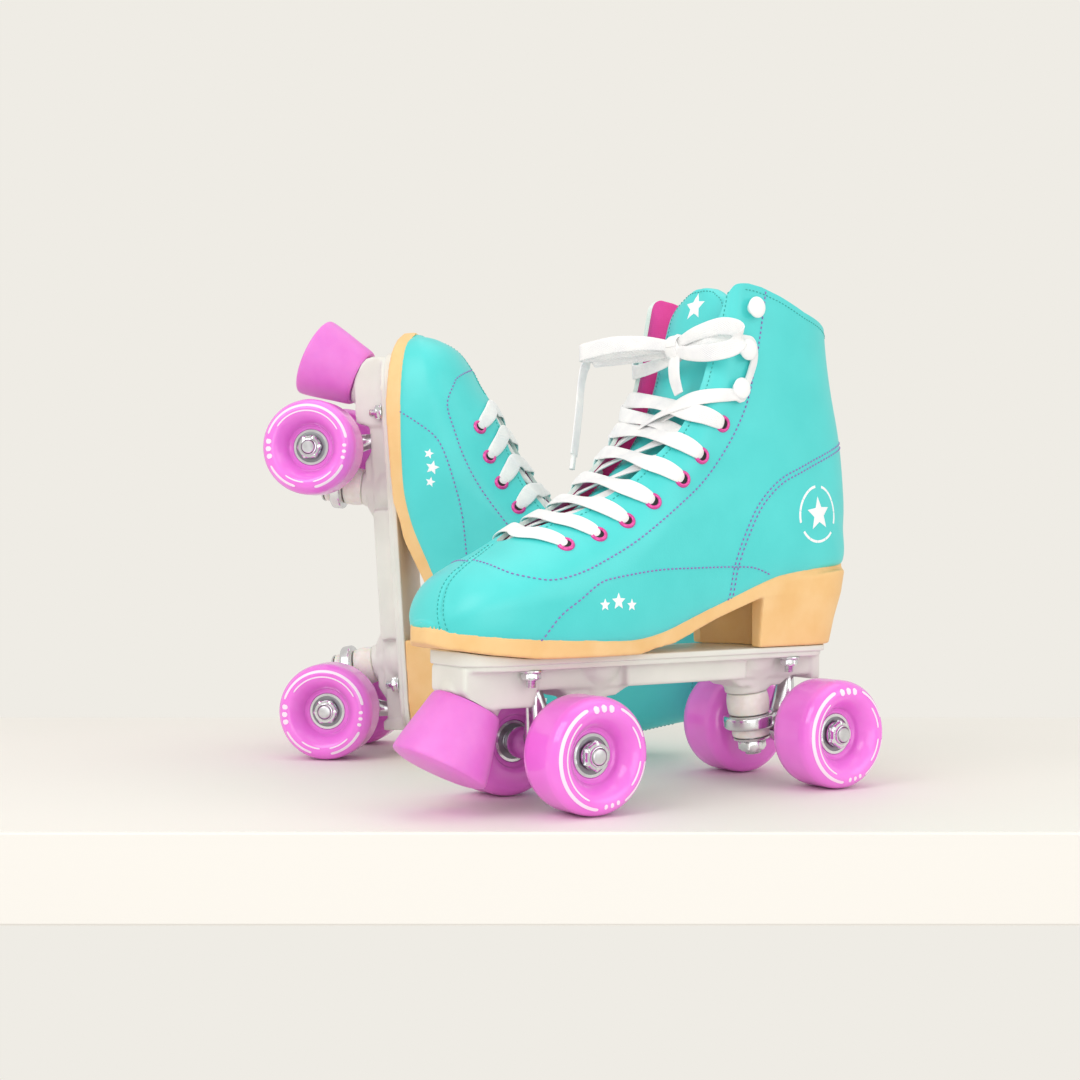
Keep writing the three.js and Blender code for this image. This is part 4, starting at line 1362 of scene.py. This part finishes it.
def lace_to_knot(cheek):
    """From the first hook up to the second, round it and in to the knot."""
    x, z, y = HOOKS[0]
    first, normal = on_upper((x + 4.0, cheek * y, z + 1.5), 2.2)
    second, normal_high = at_hole(HOOKS[1], cheek, 2.0)
    level, rise = (14.6, 1.0) if cheek < 0 else (13.7, -6.0)
    ahead = np.array([-1.0, 0, 0.3])
    stops = [
        (first, normal), (second + np.array([5.0, 0, -5.0]), normal_high),
        (second + np.array([4.0, 0, 4.0]), normal_high), (second + np.array([-2.5, 0, 5.0]), normal_high),
        facing_point(level, cheek, 2.0), (KNOT + np.array([2.5, cheek * 13, rise]), ahead),
        (KNOT + np.array([0.5, cheek * 2, rise / 2]), ahead),
    ]
    return ribbon([p for p, _ in stops], [n for _, n in stops], [4.0, 4.2, 4.2, 5.5, 8.0, 8.0, 6.0])


def from_knot(steps):
    return KNOT + np.array(steps, float)


def bow_loops():
    """The inner loop stands out over the throat, and the outer one reaches back to the second hook."""
    inner = [(-3, 2, 1), (-11, 14, 3), (-20, 29, 3), (-26, 44, 1), (-26, 51, 0), (-20, 49, 0),
             (-13, 37, 1), (-5, 20, 1.5), (-1, 4, 0)]
    outer = [(-1, -3, 2), (1, -14, 6), (7, -27, 9), (11, -36, 7), (10, -40, 2), (6, -38, -3), (0, -26, -5),
             (-3, -12, -4), (-2, -3, -2)]
    made = []
    for loop in (inner, outer):
        points = from_knot(loop)
        out = np.cross((0.0, 0.0, 1.0), np.gradient(points, axis=0))
        made.append(ribbon(points, out, [5.5, 7.5, 9, 9, 9, 9, 9, 7.5, 5.5]))
    return made


def bow_ends(side):
    """The long end that hangs over the inner loop's tip, and the short one under the knot."""
    along_loop = [(2, 8, -1), (-1, 25, -1), (-7, 42, -1.5), (-13, 53.5, -2)]
    if side == "left":
        hang = [(-18, 57, -5), (-20.5, 57.5, -14), (-23, 56, -28), (-26, 54.5, -42), (-29, 53, -55)]
        broad = (0.52, -0.855, 0)
    else:
        hang = [(-15, 58, -3), (-9, 60, -4), (6, 60, -4), (22, 59, -4), (38, 58, -5)]
        broad = (0.1, 0.75, 0.65)
    path = from_knot(along_loop + hang)
    ways = [(0.9, 0.4, 0)] * 3 + [(0.9, 0.1, 0.1)] + [broad] * 5
    aglet = [path[-1] + (path[-1] - path[-2]) * t for t in (-0.08, 0.15, 0.6)]
    short = from_knot([(0, 0, -2), (-4, -3, -8), (-6, -6, -17), (-5, -8, -25)])
    return [
        ribbon(path, ways, [6, 8, 9, 9, 9, 9, 9, 9, 8.4]),
        ribbon(short, [(-1.0, -0.2, 0.2)] * 4, [6, 8.4, 8.8, 8.4], twist=0.4),
        ribbon(aglet, [broad] * 3, [6, 3.4, 3.2]),
    ]


def knot():
    """The wrap round the middle of the bow."""
    made = []
    angles = np.linspace(0, 2 * math.pi, 13)
    for tilt, reach in ((0.0, 5.2), (0.5, 4.4)):
        out = np.column_stack([
            -0.9 * reach * np.cos(angles), tilt * (6 * np.sin(angles) - 1.5), 1.15 * reach * np.sin(angles),
        ])
        made.append(ribbon(KNOT + out, out, [8.6] * 13, 1.0))
    return made


def make_laces(side):
    strands = [lace_bar(side, k) for k in range(7)]
    strands += [lace_diagonal(k) for k in range(6)]
    strands += [lace_crossing(cheek) for cheek in (-1, 1)]
    strands += [lace_to_knot(cheek) for cheek in (-1, 1)]
    strands += bow_loops()
    strands += bow_ends(side)
    strands += knot()
    solids = [solid for solid, _ in strands]
    piece = make(side, "lacing", solids, "lace", f"{side}_skate", 60, weld=0)
    uvs = np.concatenate([uv for _, uv in strands])
    layer = piece.data.uv_layers.new(name="lace")
    corners = np.empty(len(piece.data.loops), dtype=int)
    piece.data.loops.foreach_get("vertex_index", corners)
    layer.data.foreach_set("uv", uvs[corners].astype(np.float32).ravel())
    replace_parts(piece, f"{side}_laces")


# ---- generic marks ----

def star_outline(radius):
    """A five-pointed star."""
    angles = np.linspace(0, 2 * math.pi, 10, endpoint=False) + math.pi / 2
    radii = [radius, radius * 0.45] * 5
    return [[r * math.cos(a), r * math.sin(a)] for r, a in zip(radii, angles)]


def mark_on_side(outline, x, z, cheek, turn=0.0):
    """A thin raised print on the side of the boot, from an outline in millimetres."""
    c, s = math.cos(turn), math.sin(turn)
    outline = np.asarray(outline, float) @ np.array([[c, s], [-s, c]])
    rings = []
    for share, lift in print_rings(0.93):
        ring = []
        for u, v in outline * share:
            point, normal = from_side(x + u, z + v, cheek)
            ring.append(point + normal * lift)
        rings.append(ring)
    return loft(rings)


def refined(outline):
    """An outline with a point every 0.8 mm or so along its straight sides."""
    outline = np.asarray(outline, float)
    fine = []
    for start, end in zip(outline, np.roll(outline, -1, axis=0)):
        count = max(1, int(np.linalg.norm(end - start) / 0.8))
        fine.extend(start + (end - start) * t for t in np.linspace(0, 1, count, endpoint=False))
    return fine


def band(inner, outer, start, end):
    """A flat arc as an outline, in degrees."""
    angles = np.radians(np.linspace(start, end, 18))
    edges = (outer, angles), (inner, angles[::-1])
    return [[radius * math.cos(a), radius * math.sin(a)] for radius, turns in edges for a in turns]


# X, Z, radius and turn of each star on the side of the boot. The first has the broken ring round it
STARS = [(157, 147, 9.5, 0.1), (9, 101.5, 3.2, 0), (17.5, 103, 4.4, 0), (26, 101, 3.2, 0)]
RING_RADII = (14.2, 15.6)


def make_marks(side):
    """A star in a broken ring at the heel, and three small stars near the sole."""
    solids = []
    for cheek in (-1, 1):
        for x, z, radius, turn in STARS:
            solids.append(mark_on_side(refined(star_outline(radius)), x, z, cheek, turn))
        x, z = STARS[0][:2]
        for start in (100, 220, 340):
            for angle in range(start, start + 100, 25):
                arc = np.array(band(*RING_RADII, angle, angle + 24))
                middle = arc.mean(axis=0)
                solids.append(mark_on_side(arc - middle, x + middle[0], z + middle[1], cheek))
    make(side, "printed_marks", solids, "print", f"{side}_skate")


# ---- sole and heel ----

SOLE_UNDER = [(-71.5, 85), (-69, 83.5), (-64, 81), (-48, 78.4), (-28, 76.3), (-20, 75.8), (36, 75.8),
              (47, 78.5), (60, 80.5), (75, 86.5), (89, 92.2), (104, 97.3), (121, 102.8), (200, 108)]
# How far the sole reaches beyond the upper, up into it, and how much higher its rim stands
WELT = 2.2
SOLE_SINK = 0.3
RIM = 1.5
HEEL_FRONT = 121.0
# Height, half width and back end of each level of the heel
HEEL_LEVELS = [(75.8, 28, 185), (90, 29.5, 188), (104, 31.5, 192), (125, 32.3, 194.1)]
# X, radius and top of the round hollow in front of the heel
HEEL_HOLLOW = (111, 24, 103)


def sole_outline():
    """The sole's edge in plan as [x, half width from the lean line], from nose to back."""
    stations = np.concatenate([[0, 0.4], np.arange(1, 14.01, 0.5)])
    x = curve(BACK_LINE, stations)[:, 0]
    half = curve(BOOT_WIDTHS, stations)[:, 1] + WELT
    outline = [[-69.0, 3.5], [-68.6, 7.5], *np.column_stack([x, half])[1:-1]]
    back = [[188.5, 19.5], [191.8, 13.5], [193.6, 7.5], [194.1, 3]]
    return np.array([p for p in outline if p[0] < 184] + back)


def sole_solid():
    """The sole as a loft of sections from edge to edge, with a low rim round its top."""
    outline = even(sole_outline(), 3.0)
    top_line = [(-72, 91.2), (-67, 90.4), (-64, 88.8), *BACK_LINE[1:14], (200, 121.1)]
    rings = []
    for x, half in outline:
        lean = swing(x)
        top, low = height_on(top_line, x) + SOLE_SINK, height_on(SOLE_UNDER, x)
        shares = (-1, -0.94, *np.linspace(-0.86, 0.86, 7), 0.94, 1)
        wide = [[x, half * t + lean, top + (RIM if abs(t) > 0.9 else 0)] for t in shares]
        under = [[x, half * 0.985 * t + lean, low] for t in np.linspace(1, -1, 11)]
        rings.append(wide + under)
    return loft(rings)


def heel_solid():
    """The stacked heel: straight in front and D-shaped behind."""
    rings = []
    for z, half, back in HEEL_LEVELS:
        bend = back - 30
        ring = [[HEEL_FRONT, -half, z]]
        for angle in np.linspace(-90, 90, 33):
            a = math.radians(angle)
            ring.append([
                bend + (back - bend) * math.copysign(abs(math.cos(a)) ** 0.85, math.cos(a)),
                half * math.copysign(abs(math.sin(a)) ** 0.85, math.sin(a)), z,
            ])
        ring.append([HEEL_FRONT, half, z])
        rings.append(ring)
    rings[-1] = [[x, y, min(z, height_on(BACK_LINE[1:14], x) - 1.8)] for x, y, z in rings[-1]]
    return loft(rings)


def make_sole(side):
    x, radius, top = HEEL_HOLLOW
    hollow = placed(moved(x, 0, 0), rod(radius, 60, top, 72))
    piece = cast(
        side, "sole_and_heel", [sole_solid(), heel_solid()], [hollow], "sole", f"{side}_skate",
        voxel=0.9, smoothing=5,
    )
    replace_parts(piece, f"{side}_sole")


# ---- wheels ----

HUB_SEAT = 11.15
WHEEL_OUTER = [
    [12.9, 5.7], [13.6, 6.3], [14.3, 8.4], [16.2, 11.6], [18.4, 14.2], [20.4, 15.6], [22.4, 16.0],
    [24.6, 15.5], [26.6, 13.9], [28.2, 11.4], [28.9, 8.6], [29.0, 6.5],
]
WHEEL_INNER = [
    [29.0, -6.5], [28.9, -8.6], [28.2, -11.4], [26.6, -13.9], [24.6, -15.5], [22.0, -16.0],
    [17.0, -16.0], [14.4, -15.2], [13.4, -13.4], [12.6, -12.9],
]
BEARING_FACES = ((-1.5, 5.5), (-12.5, -5.5))
NUT_FACE = 5.8
# Each printed arc: inner and outer radius, and where it starts and ends in degrees
PRINTED_ARCS = [
    (24.2, 25.7, 112, 262), (24.2, 25.7, 300, 352), (24.2, 25.7, 20, 66),
    (21.2, 22.0, 128, 246), (21.2, 22.0, 318, 352), (21.2, 22.0, 8, 40),
]
# The generic marks between the arcs: short bars, then dots
PRINTED_BARS = [
    *[(21.8, 25.4, a, a + 7) for a in (76, 87, 98)],
    *[(22.4, 24.8, a, a + 4.5) for a in (270, 279, 288)],
]


def wheel_face_height(radius):
    """The height of a wheel's outer face outside its hollow."""
    face = even(WHEEL_OUTER, 0.25)
    face = face[face[:, 0] > 20]
    return np.interp(radius, face[:, 0], face[:, 1])


def printed_patch(inner, outer, start, end):
    """A thin raised patch of print on a wheel's outer face."""
    count = max(4, int((end - start) / 2.5))
    rings = []
    for k, angle in enumerate(np.linspace(math.radians(start), math.radians(end), count)):
        taper = min(1.0, 0.55 + 0.45 * min(k, count - 1 - k))
        middle, half = (inner + outer) / 2, (outer - inner) / 2 * taper
        radii = np.linspace(middle - half, middle + half, 5)
        top = [[r, wheel_face_height(r) + 0.12] for r in radii]
        low = [[r, wheel_face_height(r) - 0.3] for r in radii[::-1]]
        rings.append([[r * math.cos(angle), r * math.sin(angle), h] for r, h in top + low])
    return loft(rings)


def bearing(low, high):
    """Outer ring, shield and inner ring of one bearing, by material."""
    outer = lathe([
        [9.3, low], [10.7, low], [11.0, low + 0.3], [11.0, high - 0.3], [10.7, high], [9.3, high],
    ])
    inner = lathe([[4.25, low], [6.2, low], [6.2, high], [4.25, high]], 48)
    shields = [
        lathe([[6.2, face - 0.25], [9.3, face - 0.25], [9.3, face + 0.25], [8.6, face + 0.4],
               [6.9, face + 0.4], [6.2, face + 0.25]])
        for face in (low + 0.6, high - 0.6)
    ]
    return [outer, inner], shields


def make_wheel(side, end, position, place):
    body = f"{side}_{end}_{position}_wheel"
    profile = [[HUB_SEAT, 5.2], [12.3, 5.2], *even(WHEEL_OUTER, 0.5), *even(WHEEL_INNER, 0.5),
               [HUB_SEAT, -12.6]]
    tyre = placed(place, lathe(profile, 72 * FINE))
    marks = all_placed(place, [printed_patch(*patch) for patch in PRINTED_ARCS + PRINTED_BARS])
    solids = {"urethane": [tyre], "wheel_print": marks}
    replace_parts(make(side, f"{end}_{position}_tyre", solids, None, body), body)
    rings, shields = [], []
    for low, high in BEARING_FACES:
        metal, dark = bearing(low, high)
        rings += all_placed(place, metal)
        shields += all_placed(place, dark)
    spacer = lathe([[4.4, -5.5], [6.0, -5.5], [6.0, -1.5], [4.4, -1.5]], 32)
    rings.append(placed(place, spacer))
    piece = make(
        side, f"{end}_{position}_bearing_pair", {"chrome": rings, "shield": shields}, None, body,
    )
    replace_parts(piece, f"{body[:-6]}_bearings")


# ---- trucks ----

HANGER_WEB = [(-3, -6), (5, -5.5), (9, 2.4), (15, 2.4), (15, 8), (5, 9.5), (-3, 8)]
HANGER_RING = [[0, 1.2], [13.6, 1.2], [14.6, 2.2], [14.6, 7.6], [13.6, 8.6], [0, 8.6]]
HANGER_SHOULDER = HALF_TRACK + BEARING_FACES[1][0] - 0.3


def along_y(solid):
    return placed(rotated(math.pi / 2, "X"), solid)


def make_hanger(side, end):
    place, pin = truck_place(end), kingpin_place(end)
    solids = [
        placed(pin, lathe(HANGER_RING)),
        placed(place, side_extruded(HANGER_WEB, 8.5)),
        placed(place, along_y(lathe([
            [0, -HANGER_SHOULDER], [6.3, -HANGER_SHOULDER], [6.4, -22.5], [8.2, -20], [8.4, 0], [8.2, 20],
            [6.4, 22.5], [6.3, HANGER_SHOULDER], [0, HANGER_SHOULDER],
        ]))),
        placed(place, between((-0.5, 0, 3), PIVOT, 8.4, 3.9)),
        placed(place, ball(PIVOT, 4.8)),
    ]
    cutters = [
        placed(pin, rod(6.2, -3, 12, 48)),
        placed(place, along_y(rod(4.25, -40, 40, 40))),
    ]
    piece = cast(
        side, f"{end}_hanger_casting", solids, cutters, "chrome", f"{side}_{end}_truck",
        voxel=0.62, smoothing=6,
    )
    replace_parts(piece, f"{side}_{end}_hanger")


def make_axle(side, end):
    place, body = truck_place(end), f"{side}_{end}_truck"
    shank = along_y(rod(4.0, -46, 46, 40))
    tips = [along_y(threaded(4.0, 45.5, 51.0)), along_y(threaded(4.0, -51.0, -45.5))]
    piece = make(side, f"{end}_axle_bar", all_placed(place, (shank, *tips)), "steel", body)
    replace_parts(piece, f"{side}_{end}_axle")


def make_nut(side, end, position, place):
    """A self-locking nut: a washer, the hexagon and the round collar."""
    washer = lathe([[4.4, NUT_FACE], [6.7, NUT_FACE], [6.9, NUT_FACE + 0.3], [6.7, NUT_FACE + 0.8],
                    [4.4, NUT_FACE + 0.8]], 48)
    body = hexagon(13.2, NUT_FACE + 0.8, 10.6, bore=4.3, chamfer=0.7)
    collar = lathe([[4.3, 10.4], [5.2, 10.4], [5.1, 11.2], [4.8, 11.7], [4.4, 11.8]], 48)
    piece = make(
        side, f"{end}_{position}_lock_nut", all_placed(place, (washer, body, collar)), "chrome",
        f"{side}_{end}_truck",
    )
    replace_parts(piece, f"{side}_{end}_{position}_nut")


def make_kingpin(side, end):
    place = kingpin_place(end)
    solids = [
        rod(4.8, -12.0, 30.5, 40),
        threaded(4.6, -13.5, -11.4, pitch=0.9),
        hexagon(13.4, -11.5, -5.9, chamfer=1.0),
        lathe([[5.0, -5.9], [8.8, -5.9], [10.2, -5.1], [10.6, -4.1], [10.0, -4.0], [5.0, -4.6]]),
    ]
    piece = make(
        side, f"{end}_kingpin_bolt", all_placed(place, solids), "chrome", f"{side}_skate",
    )
    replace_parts(piece, f"{side}_{end}_kingpin")


CUSHIONS = {
    # low and high face along the kingpin, radius at the ends, how far the middle stands out
    "upper": (8.9, 20.9, 10.9, 0.8),
    "lower": (-3.7, 0.9, 9.9, 0.5),
}


def make_cushions(side, end):
    place = kingpin_place(end)
    for name, (low, high, radius, swell) in CUSHIONS.items():
        middle = (low + high) / 2
        wall = [
            [radius + swell * (1 - ((h - middle) / (high - middle)) ** 2), h]
            for h in np.linspace(low + 0.5, high - 0.5, 7)
        ]
        solid = lathe([[5.1, low], [radius - 0.5, low], *wall, [radius - 0.5, high], [5.1, high]])
        piece = make(
            side, f"{end}_{name}_urethane_cushion", [placed(place, solid)], "cushion", None,
        )
        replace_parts(piece, f"{side}_{end}_{name}_cushion")
        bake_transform(piece)


# ---- plate and toe stop ----

DECK = [(-57, -14), (-51, -22), (-38, -27), (168, -27), (178, -17), (178, 17), (168, 27), (-38, 27),
        (-51, 22), (-57, 14)]
MOUNT_BOLTS = [(x, y) for x in (-20, 148) for y in (-21, 21)]
# Outlines in X and Z
TOE_HOUSING = [(-55, 71), (-55, 60), (-47, 51), (-15, 50.5), (-12, 60), (-12, 71)]
TRUCK_SADDLE = [(0, 60), (10, 53.5), (38, 53.5), (50, 60), (50, 68), (0, 68)]
# The height of the plate's top over X
TOE_PAD = [(-57, 79.4), (-48, 78), (-28, 75.9), (-22, PLATE_TOP), (200, PLATE_TOP)]


def deck_solid():
    """The plate's flat top, with the pad that rises under the sole's toe."""
    edge = np.array([p for p in rounded(DECK, 7, 9) if p[1] > 0])
    edge = edge[np.argsort(edge[:, 0], kind="stable")]
    rings = []
    for x in [*np.linspace(-56.9, -20, 24), *np.linspace(-10, 160, 8), *np.linspace(166, 177.9, 10)]:
        half, top = height_on(edge, x), height_on(TOE_PAD, x)
        rings.append([[x, -half, 72.3], [x, half, 72.3], [x, half, top], [x, -half, top]])
    return loft(rings)


def make_plate(side):
    body = f"{side}_skate"
    under = rounded([(x * 0.985 + 0.9, y * 0.95) for x, y in DECK], 7)
    solids = [
        extruded(under, 69.5, 73.5),
        block(-30, WHEEL_BASE + 16, 14, 58.5, 71),
        block(40, WHEEL_BASE - 40, 19, 58.5, 71),
        block(WHEEL_BASE + 10, WHEEL_BASE + 16.5, 15, 56, 71),
        side_extruded(TOE_HOUSING, 16),
        side_extruded(TRUCK_SADDLE, 12),
        side_extruded([(WHEEL_BASE - x, z) for x, z in TRUCK_SADDLE], 12),
        placed(toe_stop_place(), rod(16, 0.4, 18, 48)),
    ]
    boss = lathe([[0, 21.2], [12.0, 21.2], [12.2, 25], [13.6, 30], [17.0, 35], [19, 41], [0, 41]])
    cutters = []
    for end in ENDS:
        solids.append(placed(kingpin_place(end), boss))
        cutters.append(placed(truck_place(end), ball(PIVOT, 6.2)))
        cutters.append(placed(truck_place(end), between((-4.4, 0, 20), (-4.6, 0, 30), 9.5, 5.4)))
        cutters.append(placed(kingpin_place(end), rod(5.2, 15, 31.5, 40)))
    cutters.append(placed(toe_stop_place(), rod(24, -20, 0.4)))
    cutters.append(placed(toe_stop_place(), rod(8.2, -1, 14.5)))
    casting = cast(side, "plate_casting", solids, cutters, "plate", body, voxel=1.0, smoothing=5)
    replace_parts(casting, f"{side}_plate")
    points, faces = deck_solid()
    top = new_object(f"{side}_plate_deck", transform(PLACES[side], points), faces)
    clean(top)
    soften(top, 0.8, 3, 40)
    clean(top)
    top.data.materials.append(MATERIALS["plate"])
    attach(top, body)
    bolts = []
    for x, y in MOUNT_BOLTS:
        place = moved(x, y, 0)
        bolts += all_placed(place, (
            lathe([[0, 68.5], [5.6, 68.5], [5.8, 68.9], [5.6, 69.6], [0, 69.6]], 40),
            hexagon(8.6, 64.9, 68.5, chamfer=0.7),
            threaded(2.5, 61.2, 65.2, pitch=0.8, depth=0.25, sides=24),
        ))
    make(side, "plate_bolts", bolts, "chrome", body)


TOE_STOP_SIDE = [[21.4, -34.6], [24.2, -33.4], [24.6, -31.6], [23.9, -27], [22.2, -19], [20.3, -11],
                 [18.8, -4], [18.0, -1.2]]


def make_toe_stop(side):
    body, place = f"{side}_skate", toe_stop_place()
    profile = [[0, -TOE_STOP_LENGTH], [20, -TOE_STOP_LENGTH], *even(TOE_STOP_SIDE, 0.8), [17.2, 0],
               [8.4, 0], [8.4, -20], [0, -20]]
    stop = placed(place, lathe(profile, 96))
    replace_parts(make(side, "toe_stop_rubber", [stop], "toe_stop", body, 30), f"{side}_toe_stop")
    stem = placed(place, rod(7.9, -19.5, 14, 48))
    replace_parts(make(side, "toe_stop_stem", [stem], "chrome", body), f"{side}_toe_stop_bolt")


# ---- the whole ----

def make_skate(side):
    make_upper(side)
    make_upper_stitches(side)
    make_eyelets(side)
    make_hooks(side)
    make_tongue(side)
    make_tongue_trim(side)
    make_insole(side)
    make_laces(side)
    make_marks(side)
    make_sole(side)
    make_plate(side)
    make_toe_stop(side)
    for end in ENDS:
        make_hanger(side, end)
        make_axle(side, end)
        make_kingpin(side, end)
        make_cushions(side, end)
        for position, outward in (("outer", -1), ("inner", 1)):
            place = wheel_place(end, outward)
            make_wheel(side, end, position, place)
            make_nut(side, end, position, place)


for side_name in SIDES:
    make_skate(side_name)

make_shelf(make_camera())
make_lights()
make_world()
